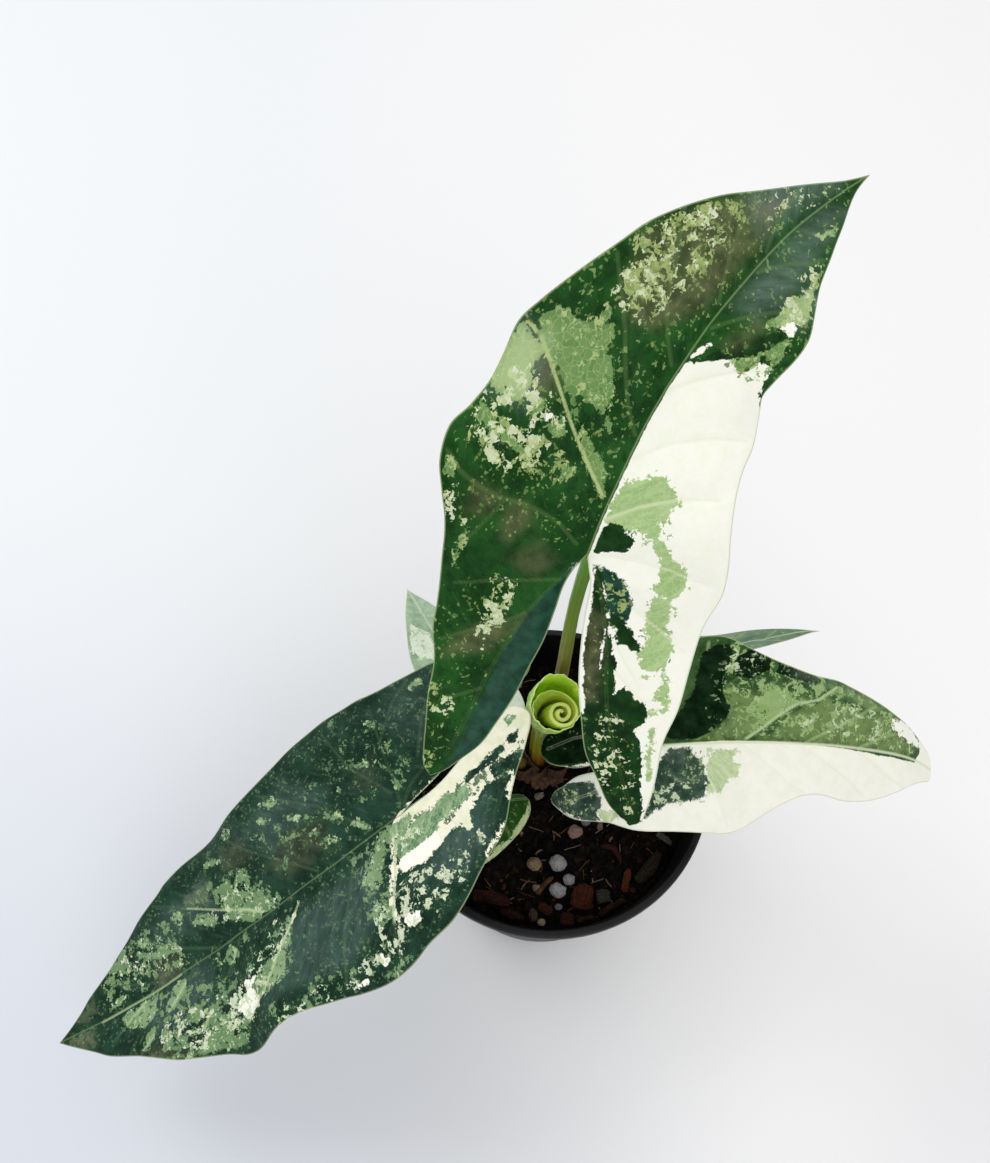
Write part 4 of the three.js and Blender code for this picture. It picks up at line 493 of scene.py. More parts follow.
def build_blade(name, leaf, rows, cols):
    sheet = Sheet(leaf)
    veins = VEINS.get(name) or default_veins(leaf)
    lobe = outline_of(leaf, 1)[1][0]
    reach = outline_of(leaf, 1)[0][-1][0]
    n_in = max(3, round(rows * np.hypot(*lobe) / (np.hypot(*lobe) + reach)))
    V, T, ST, UP, EDGE = [], [], [], [], []
    base = 0
    for side in (1, -1):
        outer, inner = outline_of(leaf, side)
        sinus, margin = catmull(inner, n_in), catmull(outer, rows)
        rib = np.vstack([sinus, np.stack([reach * np.arange(1, rows - n_in + 1) / (rows - n_in), np.zeros(rows - n_in)], 1)])
        w = (np.arange(cols + 1) / cols)[None, :, None]
        k = np.arange(rows + 1)
        # columns crowd towards the midrib past the join, where the rib needs them
        past = np.clip((k - n_in) / 12, 0, 1)[:, None, None]
        w = w * (1 - past) + (w ** 1.35) * past
        q = rib[:, None] * (1 - w) + margin[:, None] * w
        width = np.linalg.norm(margin - rib, axis=1)[:, None]
        to_margin = width * (1 - w[..., 0])
        to_inner = np.where((k <= n_in)[:, None], width * w[..., 0], 99)
        ends = np.minimum(np.linalg.norm(q - q[0, 0], axis=2), np.linalg.norm(q - q[-1, 0], axis=2))
        edge = np.minimum(np.minimum(to_margin, to_inner), ends)
        for up in (1, 0):
            ids = base + np.arange((rows + 1) * (cols + 1)).reshape(rows + 1, cols + 1)
            T.append(grid_tris(ids, flip=(side > 0) != (up > 0)))
            ST.append(q.reshape(-1, 2))
            EDGE.append(edge.ravel())
            UP.append(np.full(q.shape[0] * q.shape[1], float(up)))
            base += (rows + 1) * (cols + 1)
    st, up, edge, tris = np.vstack(ST), np.concatenate(UP), np.concatenate(EDGE), np.vstack(T)
    s, t = st[:, 0], st[:, 1]
    d_rib = polyline_distance(st, [(0, 0), (reach, 0)])
    d_costa = np.full(len(st), 99.0)
    for line in veins["costa"]:
        d_costa = np.minimum(d_costa, polyline_distance(st, pts(line)))
    d_main = np.full(len(st), 99.0)
    for line in veins["main"]:
        d_main = np.minimum(d_main, polyline_distance(st, pts(line)))
    d_bold = np.full(len(st), 99.0)
    for line in veins.get("bold", ()):
        d_bold = np.minimum(d_bold, polyline_distance(st, pts(line)))
    size = reach / 141.0
    taper = np.clip(1 - s / reach, 0.12, 1)
    back = np.clip(1 + s / (np.hypot(*lobe) + 6), 0.15, 1)
    # the sheet puffs up between its side veins, which lie in shallow grooves
    quilt = 1.25 * size * (1 - np.exp(-((np.minimum(d_main, d_rib) / 5.5) ** 2))) * np.clip(edge / 7, 0, 1) * np.where(s >= 0, taper ** 0.4, back)
    groove = -0.42 * np.exp(-((d_main / 1.0) ** 2)) * np.clip(edge / 5, 0, 1) - 0.42 * np.exp(-((d_rib / 1.5) ** 2)) * taper - 0.30 * np.exp(-((d_costa / 1.2) ** 2)) * back
    ripple = 0.5 * size * wobble(s, t, 5 + len(name), 0.16) + 0.10 * wobble(s, t, 11, 0.5)
    skin = 0.28 * np.clip(edge / 1.1, 0, 1) ** 0.6
    under = (1.25 * np.exp(-((d_rib / 1.25) ** 2)) * taper ** 0.7 + 1.0 * np.exp(-((d_costa / 1.05) ** 2)) * back
             + 0.42 * np.exp(-((d_main / 0.8) ** 2)) * np.clip(edge / 6, 0, 1)) * size * np.clip(edge / 1.2, 0, 1)
    lift = quilt - 0.35 * size + groove + ripple + np.where(up > 0.5, skin, -skin - under)
    v = sheet.place(s, t, lift)
    field = {}
    data = PATCHES[name]
    for key in ("cream", "mint", "olive", "teal", "dark", "white"):
        shapes = [shape_of(i) for i in data.get(key, ())]
        field["f_" + key] = patch_field(st, shapes) if shapes else np.full(len(st), -8.0)
    # sheen and brown sheen densities mark painted reflections
    for key, soft in (("lace", 3.0), ("speck", 3.0), ("pale", 2.0), ("sheen", 8.0), ("brown", 6.0)):
        dens = np.zeros(len(st))
        for item, level in data.get(key, ()):
            k = np.clip(patch_field(st, [shape_of(item)]) / soft + 0.5, 0, 1)
            dens = np.maximum(dens, level * k * k * (3 - 2 * k))
        field["k_" + key] = dens
    field.update(d_bold=d_bold, d_rib=d_rib, d_costa=d_costa, d_main=d_main, d_edge=edge, up=up)
    keys = sorted(field)
    out = weld(v, tris, st, *[field[k] for k in keys])
    v, tris, st = out[:3]
    vec = np.column_stack([st, np.zeros(len(st))])
    return mesh_object(name + "_blade_detail", v, tris, dict(zip(keys, out[3:])), {"leaf": vec}, sharp=70)


# ---------------------------------------------------------------- tubes
def frames_along(p):
    """Tangents and two turning-free side vectors along a line of points."""
    T = np.gradient(p, axis=0)
    T /= np.linalg.norm(T, axis=1)[:, None]
    e = np.cross([0.0, 1.0, 0.0], T[0])
    e /= np.linalg.norm(e)
    E1 = [e]
    for i in range(1, len(p)):
        e = E1[-1] - T[i] * (E1[-1] @ T[i])
        E1.append(e / np.linalg.norm(e))
    E1 = np.array(E1)
    return T, E1, np.cross(T, E1)


def build_tube(name, axis, radii, steps, sides, ribs=7, rib=0.035, seed=1, flare=0.0, blend_end=None):
    """A ribbed stem along a curve. flare widens its foot to a sheath, more on one side."""
    p = catmull(axis, steps)
    T, E1, E2 = frames_along(p)
    u = np.linspace(0, 1, steps + 1)
    r = np.interp(u * (len(radii) - 1), np.arange(len(radii)), radii)
    length = np.linalg.norm(np.diff(p, axis=0), axis=1).sum()
    a = np.linspace(0, 2 * np.pi, sides, endpoint=False)
    A, U = np.meshgrid(a, u)
    along = U * length
    swell = 1 + rib * np.cos(ribs * A + 0.6 * np.sin(along * 0.06 + seed)) + 0.015 * np.cos(2 * A + along * 0.11 + seed) + 0.012 * np.sin(along * 0.35 + seed)
    foot = flare * np.exp(-along / 9.0)
    swell = swell * (1 + foot * (0.65 + 0.35 * np.cos(A - seed)))
    R = r[:, None] * swell
    v = p[:, None] + E1[:, None] * (R * np.cos(A))[..., None] + E2[:, None] * (R * np.sin(A))[..., None]
    n = (steps + 1) * sides
    ids = np.arange(n).reshape(steps + 1, sides)
    ids = np.hstack([ids, ids[:, :1]])
    tris = [grid_tris(ids, flip=True)]
    v = np.vstack([v.reshape(-1, 3), p[0], p[-1]])
    j = np.arange(sides)
    tris.append(np.stack([np.full(sides, n), (j + 1) % sides, j], 1))
    last = steps * sides
    tris.append(np.stack([np.full(sides, n + 1), last + j, last + (j + 1) % sides], 1))
    vec = np.column_stack([np.append(along.ravel(), [0, length]), np.append((A * r[:, None]).ravel(), [0, 0]), np.append(A.ravel(), [0, 0])])
    uu = np.append(U.ravel(), [0, 1])
    return mesh_object(name, v, np.vstack(tris), dict(u=uu, len_mm=np.append(along.ravel(), [0, length]), rib=np.append(np.cos(ribs * A + 0.6 * np.sin(along * 0.06 + seed)).ravel(), [0, 0])), {"leaf": vec}, sharp=60)


# ---------------------------------------------------------------- materials
def lin(r, g, b):
    f = lambda c: c / 12.92 if c <= 0.04045 else ((c + 0.055) / 1.055) ** 2.4
    return tuple(f(c / 255) for c in (r, g, b)) + (1.0,)


def dim(c, k):
    return tuple(x * k for x in c[:3]) + (1.0,)


class Nodes:
    def __init__(self, name):
        self.mat = bpy.data.materials.new(name)
        self.mat.use_nodes = True
        self.tree = self.mat.node_tree
        self.tree.nodes.clear()
        out = self.tree.nodes.new("ShaderNodeOutputMaterial")
        self.bsdf = self.tree.nodes.new("ShaderNodeBsdfPrincipled")
        self.tree.links.new(self.bsdf.outputs[0], out.inputs[0])

    def put(self, socket, value):
        if isinstance(value, bpy.types.NodeSocket):
            self.tree.links.new(value, socket)
        else:
            socket.default_value = value

    def new(self, kind, values=None, **props):
        n = self.tree.nodes.new("ShaderNode" + kind)
        for k, v in props.items():
            setattr(n, k, v)
        for k, v in (values or {}).items():
            self.put(n.inputs[k], v)
        return n

    def attr(self, name, vector=False):
        n = self.new("Attribute", attribute_name=name, attribute_type="GEOMETRY")
        return n.outputs["Vector" if vector else "Fac"]

    def math(self, op, a, b=None, c=None, clamp=False):
        n = self.new("Math", operation=op, use_clamp=clamp)
        for i, x in enumerate((a, b, c)):
            if x is not None:
                self.put(n.inputs[i], x)
        return n.outputs[0]

    def vmath(self, op, a, b=None, scale=None):
        n = self.new("VectorMath", operation=op)
        self.put(n.inputs[0], a)
        if b is not None:
            self.put(n.inputs[1], b)
        if scale is not None:
            self.put(n.inputs["Scale"], scale)
        return n.outputs[0]

    def mix(self, fac, a, b, mode="MIX"):
        n = self.new("Mix", data_type="RGBA", blend_type=mode)
        self.put(n.inputs[0], fac)
        self.put(n.inputs[6], a)
        self.put(n.inputs[7], b)
        return n.outputs[2]

    def step(self, x, low, high, to0=0.0, to1=1.0, smooth=True):
        n = self.new("MapRange", interpolation_type="SMOOTHSTEP" if smooth else "LINEAR")
        for i, val in enumerate((x, low, high, to0, to1)):
            self.put(n.inputs[i], val)
        return n.outputs[0]

    def noise(self, vec, scale, detail=3.0, rough=0.5, colour=False):
        n = self.new("TexNoise", {"Vector": vec, "Scale": scale, "Detail": detail, "Roughness": rough})
        return n.outputs["Color" if colour else 0]

    def voronoi(self, vec, scale, feature="F1", rand=1.0):
        return self.new("TexVoronoi", {"Vector": vec, "Scale": scale, "Randomness": rand}, feature=feature)

    def split(self, colour):
        return self.new("SeparateColor", {0: colour}).outputs

    def bump(self, height, strength, distance, normal=None):
        n = self.new("Bump", {"Strength": strength, "Distance": distance, "Height": height})
        if normal is not None:
            self.put(n.inputs["Normal"], normal)
        return n.outputs[0]

    def set(self, **values):
        for k, v in values.items():
            self.put(self.bsdf.inputs[k.replace("_", " ")], v)
        return self.mat


def leaf_material(name, c):
    """Marbled leaf skin. c holds its colours; the patches come from the mesh's own fields in millimetres."""
    N = Nodes(name)
    leaf = N.attr("leaf", True)
    drift = N.vmath("SUBTRACT", N.noise(leaf, 0.33, 2.0, colour=True), (0.5, 0.5, 0.5))
    warped = N.vmath("ADD", leaf, N.vmath("SCALE", drift, scale=3.0))
    drift2 = N.vmath("SUBTRACT", N.noise(leaf, 1.1, 2.0, colour=True), (0.5, 0.5, 0.5))
    warped2 = N.vmath("ADD", warped, N.vmath("SCALE", drift2, scale=1.1))
    cell = N.voronoi(warped2, 0.50)
    r1, r2, r3 = N.split(cell.outputs["Color"])[0:3]
    net = N.voronoi(warped2, 0.50, "DISTANCE_TO_EDGE").outputs["Distance"]
    tiny = N.voronoi(warped2, 1.25)
    q1, q2, q3 = N.split(tiny.outputs["Color"])[0:3]
    big = N.noise(leaf, 0.055, 3.0)
    mid = N.noise(leaf, 0.22, 4.0, 0.6)
    fine = N.noise(leaf, 1.6, 3.0, 0.6)
    # a noise drawn out along the side veins, mirrored about the midrib
    ls, lt = N.new("SeparateXYZ", {0: leaf}).outputs[0:2]
    lt = N.math("ABSOLUTE", lt)
    along = N.math("MULTIPLY_ADD", ls, 0.74, N.math("MULTIPLY", lt, 0.67))
    across = N.math("MULTIPLY_ADD", lt, 0.74, N.math("MULTIPLY", ls, -0.67))
    brush = N.noise(N.new("CombineXYZ", {0: N.math("MULTIPLY", along, 0.10), 1: N.math("MULTIPLY", across, 0.40)}).outputs[0], 1.0, 5.0, 0.66)
    jag = N.math("MULTIPLY", N.math("SUBTRACT", brush, 0.5), c["brush_jag"])
    jag = N.math("ADD", jag, N.math("MULTIPLY", N.math("SUBTRACT", mid, 0.5), 2.6))
    jag = N.math("ADD", jag, N.math("MULTIPLY", N.math("SUBTRACT", r1, 0.5), 1.5))
    jag = N.math("ADD", jag, N.math("MULTIPLY", N.math("SUBTRACT", q1, 0.5), 0.9))

    def mask(key, soft=0.14, gain=1.0, gate=None):
        j = N.math("MULTIPLY", jag, gate) if gate is not None else jag
        return N.step(N.math("MULTIPLY_ADD", j, gain, N.attr(key)), -soft, soft)

    def scatter(key, swing, low, a, b, share):
        """Irregular flecks, in clumps where the slow noise is high."""
        dens = N.math("MULTIPLY", N.attr(key), N.math("MULTIPLY_ADD", mid, swing, low))
        return N.math("GREATER_THAN", dens, N.math("MULTIPLY_ADD", a, 1 - share, N.math("MULTIPLY", b, share)))

    rib, costa, main, edge, up = (N.attr(k) for k in ("d_rib", "d_costa", "d_main", "d_edge", "up"))
    speck = N.math("GREATER_THAN", N.math("MULTIPLY", N.attr("k_speck"), N.math("MULTIPLY_ADD", mid, 2.6, -1.0)), q2)
    speck = N.math("MULTIPLY", speck, N.math("MULTIPLY_ADD", q3, 0.6, 0.25))
    lace, pale = scatter("k_lace", 3.4, -0.8, r3, q3, 0.34), scatter("k_pale", 4.4, -1.35, r1, q1, 0.30)
    lacing = N.mix(q1, c.get("lace1", c["mint"]), c.get("lace2", c["mint2"]))

    def paint_sheen(base):
        """Painted sheen: soft greyish and brownish reflections over the greens."""
        base = N.mix(N.math("MULTIPLY", N.attr("k_sheen"), N.step(brush, 0.30, 0.66, 0.45, 1.0)), base, c["sheen"])
        return N.mix(N.math("MULTIPLY", N.attr("k_brown"), N.step(mid, 0.3, 0.7, 0.35, 1.0)), base, c["brown"])

    # green ground: slow drift between greens, slightly different from cell to cell, lighter along the side veins
    ground = N.mix(N.step(big, 0.36, 0.64), c["green"], c["green2"])
    ground = N.mix(N.math("MULTIPLY", N.step(mid, 0.52, 0.34), 0.45), ground, c["deep"])
    ground = N.mix(N.math("MULTIPLY", r2, 0.20), ground, c["deep"])
    ground = N.mix(N.step(brush, 0.50, 0.74, 0.0, c["brush_mix"]), ground, c["brush"])
    ground = N.mix(N.step(brush, 0.44, 0.26, 0.0, c["brush_mix"]), ground, c["deep"])
    # painted highlights: a fine lighter speckle standing in for glints on the bumpy skin
    ground = N.mix(N.step(fine, 0.45, 0.75, 0.0, 0.22), ground, c["brush"])
    olive = N.math("MULTIPLY", mask("f_olive", 1.6, gain=1.2), N.math("MULTIPLY_ADD", r3, 0.4, 0.5))
    ground = paint_sheen(N.mix(olive, ground, c["olive"]))
    ground = N.mix(N.step(main, 0.9, 0.2, 0.0, c["vein_mix"]), ground, c["vein"])
    ground = N.mix(N.math("MULTIPLY", speck, 0.75), ground, c["fleck"])
    ground = N.mix(N.math("MULTIPLY", lace, 0.9), ground, lacing)
    # mint islands on green, reticulated by darker and paler cells
    mint = N.mix(N.math("MULTIPLY", r2, 0.6), c["mint"], c["mint2"])
    mint = N.mix(N.step(net, 0.055, 0.008, 0.0, c["net_mix"]), mint, c["mint_net"])
    # painted sheen: the mint is paler where the sheen field lies
    mint = N.mix(N.math("MULTIPLY", N.attr("k_sheen"), 1.1, clamp=True), mint, c["mint_line"])
    mint = N.mix(N.step(main, 0.9, 0.3, 0.0, 0.5), mint, c["pale"])
    mint = N.mix(N.math("MULTIPLY", N.math("GREATER_THAN", c["holes"], N.math("MULTIPLY_ADD", q2, 0.5, N.math("MULTIPLY", r3, 0.5))), 0.85), mint, c["green2"])
    mint = N.mix(N.math("MULTIPLY", N.math("GREATER_THAN", N.math("MULTIPLY_ADD", q1, 0.5, N.math("MULTIPLY", r1, 0.5)), 0.80), 0.8), mint, c["pale"])
    # smoother mint on cream, under a fine paler net
    wash = N.mix(N.step(brush, 0.36, 0.64), c["mint_deep"], c["mint_pale"])
    wash = N.mix(N.math("MULTIPLY", N.step(net, 0.10, 0.01), 0.45), wash, c["mint_line"])
    wash = N.mix(N.step(main, 0.75, 0.2, 0.0, 0.6), wash, c["cream_vein"])
    wash = N.mix(N.math("GREATER_THAN", c["wash_holes"], N.math("MULTIPLY_ADD", r2, 0.35, N.math("MULTIPLY", brush, 0.65))), wash, c["cream"])
    # cream and white ground, faintly greener in places, with green lace where the field says so
    cream = N.mix(N.step(mid, 0.35, 0.7), c["cream"], c["cream2"])
    cream = N.mix(N.math("MULTIPLY", N.step(main, 0.8, 0.1), 0.25), cream, c["cream_vein"])
    cream = N.mix(N.math("MULTIPLY", N.step(net, 0.05, 0.0), 0.08), cream, c["cream_vein"])
    cream = N.mix(N.math("MULTIPLY", lace, 0.9), cream, N.mix(q2, c["mint_deep"], c["green2"]))
    teal = N.mix(N.step(mid, 0.34, 0.66), c["teal"], c["teal2"])
    teal = N.mix(N.step(brush, 0.42, 0.26, 0.0, 0.6), teal, c["deep"])
    teal = N.mix(N.math("MULTIPLY", speck, 0.8), teal, c["fleck"])
    teal = N.mix(N.math("MULTIPLY", lace, 0.9), paint_sheen(teal), lacing)
    dark = paint_sheen(N.mix(N.step(mid, 0.35, 0.68), c["dark"], c["dark2"]))
    dark = N.mix(N.math("MULTIPLY", speck, 0.7), dark, c["fleck"])
    near = N.step(rib, 0.6, 3.2, 0.10, 1.0)
    mcream, mdark = mask("f_cream", 0.14, 0.8, near), mask("f_dark", 0.14, 0.55, near)
    mmint, mwhite = mask("f_mint", 0.18, 0.95), mask("f_white", 0.12, 0.45)
    colour = N.mix(mcream, ground, cream)
    colour = N.mix(mmint, colour, N.mix(mcream, mint, wash))
    colour = N.mix(mask("f_teal", 0.4, 0.7), colour, teal)
    colour = N.mix(mdark, colour, dark)
    colour = N.mix(mwhite, colour, c["white"])
    colour = N.mix(N.math("MULTIPLY", pale, 0.92), colour, N.mix(N.math("MULTIPLY", q2, c["pale_white"]), c["pale"], c["white"]))
    # ribs and the thin margin line
    colour = N.mix(N.step(N.math("MULTIPLY_ADD", N.math("SUBTRACT", fine, 0.5), 0.5, N.attr("d_bold")), 0.60, 0.18, 0.0, c["bold_mix"]), colour, c["pale"])
    rib_line = N.step(N.math("ABSOLUTE", N.math("SUBTRACT", rib, c["rib_at"])), c["rib_wide"], 0.05)
    colour = N.mix(N.math("MULTIPLY", rib_line, c["rib_mix"]), colour, c["rib"])
    colour = N.mix(N.step(N.math("ABSOLUTE", N.math("SUBTRACT", costa, 0.4)), 0.30, 0.05, 0.0, c["costa_mix"]), colour, c["rib"])
    colour = N.mix(N.step(edge, 0.55, 0.2, 0.0, 0.55), colour, c["margin"])
    # the underside is paler, duller and shows raised ribs
    below = N.mix(0.42, colour, c["under"])
    below = N.mix(N.step(N.math("MINIMUM", rib, costa), 1.5, 0.8, 0.0, 0.7), below, c["under_rib"])
    below = N.mix(N.step(main, 0.7, 0.3, 0.0, 0.45), below, c["under_rib"])
    top = N.step(up, 0.45, 0.55)
    colour = N.mix(top, below, colour)
    cells = N.voronoi(leaf, 0.50, "DISTANCE_TO_EDGE").outputs["Distance"]
    height = N.math("MULTIPLY_ADD", N.step(cells, 0.0, 0.22), 0.45, N.math("MULTIPLY", N.noise(leaf, 1.6, 1.0), 0.6))
    normal = N.bump(height, 0.30, 0.00022)
    normal = N.bump(N.noise(leaf, 0.22, 2.0, 0.5), 0.25, 0.0012, normal)
    rough = N.math("ADD", N.math("MULTIPLY_ADD", mid, 0.16, c["rough"]), N.step(up, 0.55, 0.45, 0.0, 0.16))
    N.set(Base_Color=colour, Roughness=rough, Normal=normal)
    N.bsdf.inputs["Specular IOR Level"].default_value = c.get("spec", 0.06)
    return N.mat


# ---------------------------------------------------------------- camera, floor and light
cam = bpy.data.objects.new("photo_camera", bpy.data.cameras.new("photo_camera"))
bpy.context.scene.collection.objects.link(cam)
cam.location = (-0.019555, -0.143657, 0.506295)
cam.rotation_euler = (math.radians(29), 0, 0)
cam.data.sensor_width = 36
cam.data.sensor_fit = "AUTO"
cam.data.lens = 1141 * 36 / 1163
cam.data.clip_start = 0.01
cam.data.clip_end = 50
bpy.context.scene.camera = cam

view = bpy.context.scene.view_settings
view.view_transform = "Standard"
view.look = "None"
view.exposure = 0
view.gamma = 1


def make_floor():
    n = 24
    xs = np.linspace(-9000, 9000, n + 1)
    X, Y = np.meshgrid(xs, xs, indexing="ij")
    v = np.column_stack([X.ravel(), Y.ravel(), np.zeros(X.size)])
    ob = mesh_object("floor", v, grid_tris(np.arange(v.shape[0]).reshape(n + 1, n + 1)))
    N = Nodes("floor")
    co = N.new("TexCoord").outputs["Object"]
    # painted shade and light on the floor: darker and bluer round a spot at the bottom left, paler to the right, darker
    # towards the front, and a painted pool of light by the pot where its shadow falls
    near = N.new("VectorMath", {0: co, 1: (-0.30, -0.20, 0.0)}, operation="DISTANCE").outputs["Value"]
    tone = N.step(near, 0.08, 0.42)
    right = N.step(N.new("SeparateXYZ", {0: co}).outputs[0], -0.22, 0.16)
    painted_light_by_pot = N.step(N.new("VectorMath", {0: co, 1: (0.07, -0.06, 0.0)}, operation="DISTANCE").outputs["Value"], 0.13, 0.03)
    pale = N.mix(right, (0.825, 0.845, 0.87, 1), (0.915, 0.91, 0.915, 1))
    front = N.step(N.new("SeparateXYZ", {0: co}).outputs[1], -0.02, -0.12, 0.0, 0.9)
    pale = N.mix(front, pale, (0.845, 0.84, 0.86, 1))
    pale = N.mix(painted_light_by_pot, pale, (0.985, 0.98, 0.99, 1))
    N.set(Base_Color=N.mix(tone, (0.68, 0.71, 0.785, 1), pale), Roughness=N.step(N.noise(co, 30.0), 0.2, 0.8, 0.85, 0.95))
    N.bsdf.inputs["Specular IOR Level"].default_value = 0.1
    ob.data.materials.append(N.mat)
    ob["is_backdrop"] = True


def area(name, loc, target, size, power, colour=(1, 1, 1)):
    data = bpy.data.lights.new(name, "AREA")
    data.shape = "DISK"
    data.size = size
    data.energy = power
    data.color = colour
    ob = bpy.data.objects.new(name, data)
    bpy.context.scene.collection.objects.link(ob)
    ob.location = loc
    d = np.array(target) - np.array(loc)
    yaw, tilt = math.atan2(d[1], d[0]), math.atan2(math.hypot(d[0], d[1]), -d[2])
    ob.rotation_euler = (tilt, 0, yaw - math.pi / 2)


make_floor()
area("window", (-0.80, 0.55, 1.15), (0, 0, 0.15), 0.8, 4.9, (1.0, 0.99, 0.97))
area("front", (0.30, -0.95, 1.20), (0, 0, 0.15), 0.9, 3.4, (1.0, 1.0, 0.99))
world = bpy.data.worlds.new("studio")
bpy.context.scene.world = world
world.use_nodes = True
wt = world.node_tree
wt.nodes.clear()
wo, bg, tc, sx, mr, mx = (wt.nodes.new("ShaderNode" + k) for k in ("OutputWorld", "Background", "TexCoord", "SeparateXYZ", "MapRange", "Mix"))
mx.data_type = "RGBA"
wt.links.new(tc.outputs["Generated"], sx.inputs[0])
wt.links.new(sx.outputs[1], mr.inputs[0])
mr.inputs[1].default_value, mr.inputs[2].default_value = -0.8, 0.9
wt.links.new(mr.outputs[0], mx.inputs[0])
mx.inputs[6].default_value = (0.83, 0.83, 0.83, 1)
mx.inputs[7].default_value = (0.82, 0.825, 0.83, 1)
wt.links.new(mx.outputs[2], bg.inputs[0])
wt.links.new(bg.outputs[0], wo.inputs[0])
bg.inputs[1].default_value = 1.0

# ---------------------------------------------------------------- leaf blades
GREY = lin(150, 168, 150)
# the sheen and brown sheen colours below are painted reflections
BLADE = {
    "upper": dict(brush=lin(56, 100, 46), brush_mix=0.35, brush_jag=1.4, green=lin(18, 60, 18), green2=lin(34, 84, 32), deep=lin(8, 34, 11), vein=lin(112, 142, 84), vein_mix=0.22, olive=lin(104, 112, 74), fleck=lin(150, 176, 104),
                  lace1=lin(122, 150, 82), lace2=lin(172, 186, 122), mint=lin(96, 134, 74), mint2=lin(126, 157, 96), mint_net=lin(170, 192, 132), holes=0.05, bold_mix=0.85, pale_white=0.55, net_mix=0.55, wash_holes=0.20, pale=lin(178, 194, 132), mint_pale=lin(174, 198, 140), mint_deep=lin(150, 181, 116), mint_line=lin(192, 210, 158),
                  cream=lin(245, 245, 234), cream2=lin(241, 243, 226), cream_vein=lin(216, 224, 190), dark=lin(12, 42, 14), dark2=lin(26, 66, 24), teal=lin(16, 52, 38), teal2=lin(34, 76, 58), white=lin(245, 246, 234),
                  sheen=lin(116, 140, 128), brown=lin(122, 114, 86), rib=lin(140, 166, 110), rib_at=0.0, rib_wide=0.42, rib_mix=0.5, costa_mix=0.07, margin=lin(170, 186, 136), under=lin(120, 148, 106), under_rib=lin(178, 190, 130), rough=0.36),
    "lower_left": dict(brush=lin(66, 98, 76), brush_mix=0.42, brush_jag=2.6, green=lin(17, 45, 30), green2=lin(32, 65, 48), deep=lin(8, 28, 17), vein=lin(96, 124, 92), vein_mix=0.22, olive=lin(92, 102, 78), fleck=lin(112, 138, 98),
                       mint=lin(98, 131, 92), mint2=lin(134, 160, 114), mint_net=lin(78, 108, 76), holes=0.22, bold_mix=0.6, pale_white=0.6, net_mix=0.25, wash_holes=0.26, pale=lin(182, 199, 154), mint_pale=lin(146, 174, 132), mint_deep=lin(84, 122, 88), mint_line=lin(176, 198, 154),
                       cream=lin(243, 240, 220), cream2=lin(226, 230, 198), cream_vein=lin(190, 206, 162), dark=lin(16, 42, 30), dark2=lin(40, 72, 58), teal=lin(24, 54, 48), teal2=lin(60, 92, 86), white=lin(245, 246, 234),
                       sheen=lin(104, 132, 128), brown=lin(98, 96, 74), rib=lin(112, 136, 94), rib_at=0.0, rib_wide=0.45, rib_mix=0.55, costa_mix=0.12, margin=lin(164, 178, 136), under=lin(124, 148, 118), under_rib=lin(182, 194, 146), rough=0.34),
    "right": dict(brush=lin(104, 130, 84), brush_mix=0.45, brush_jag=2.0, green=lin(42, 74, 36), green2=lin(70, 104, 58), deep=lin(16, 38, 16), vein=lin(160, 184, 126), vein_mix=0.5, olive=lin(118, 141, 86), fleck=lin(160, 178, 130),
                  mint=lin(136, 164, 100), mint2=lin(160, 184, 128), mint_net=lin(112, 142, 82), holes=0.14, bold_mix=0.8, pale_white=0.3, net_mix=0.25, wash_holes=0.22, pale=lin(178, 198, 152), mint_pale=lin(200, 214, 172), mint_deep=lin(172, 194, 142), mint_line=lin(212, 222, 188),
                  cream=lin(244, 243, 232), cream2=lin(239, 239, 225), cream_vein=lin(228, 230, 206), spec=0.035, dark=lin(4, 24, 5), dark2=lin(22, 46, 24), teal=lin(40, 60, 49), teal2=lin(76, 96, 82), white=lin(248, 248, 240),
                  sheen=lin(130, 150, 130), brown=lin(110, 108, 84), rib=lin(214, 222, 188), rib_at=0.0, rib_wide=0.8, rib_mix=0.85, costa_mix=0.20, margin=lin(190, 200, 160), under=lin(136, 156, 120), under_rib=lin(190, 200, 152), rough=0.38),
}
soft = dict(BLADE["right"], teal=lin(60, 88, 68), teal2=lin(84, 112, 88), rib_mix=0.5, vein_mix=0.25, rough=0.44)
BLADE["back_right"] = dict(soft, green=lin(92, 120, 98), green2=lin(114, 140, 116), deep=lin(74, 102, 80), olive=lin(128, 148, 118))
BLADE["back_left"] = dict(soft, green=lin(150, 176, 150), green2=lin(174, 196, 172), deep=lin(122, 150, 122), olive=lin(160, 180, 150), cream=lin(222, 232, 216), cream2=lin(206, 220, 198), mint=lin(160, 186, 150), mint2=lin(182, 202, 170))
BLADE["small_low"] = dict(soft, green=lin(38, 82, 28), green2=lin(58, 106, 42), deep=lin(22, 56, 18), mint=lin(96, 136, 74), mint2=lin(120, 156, 92), cream=lin(206, 218, 170), cream2=lin(186, 204, 146))
ROWS = {"upper": (270, 46), "lower_left": (280, 46), "right": (230, 38), "back_right": (130, 24), "back_left": (130, 24), "small_low": (80, 20)}
SLOT = {"upper": "blade", "lower_left": "blade_blue", "right": "blade", "back_right": "blade_pale", "back_left": "blade_pale", "small_low": "blade"}
for name, leaf in LEAVES.items():
    finish_piece(build_blade(name, leaf, *ROWS[name]), leaf_material("skin_" + name, BLADE[name]), SLOT[name], name + "_leaf_blade")


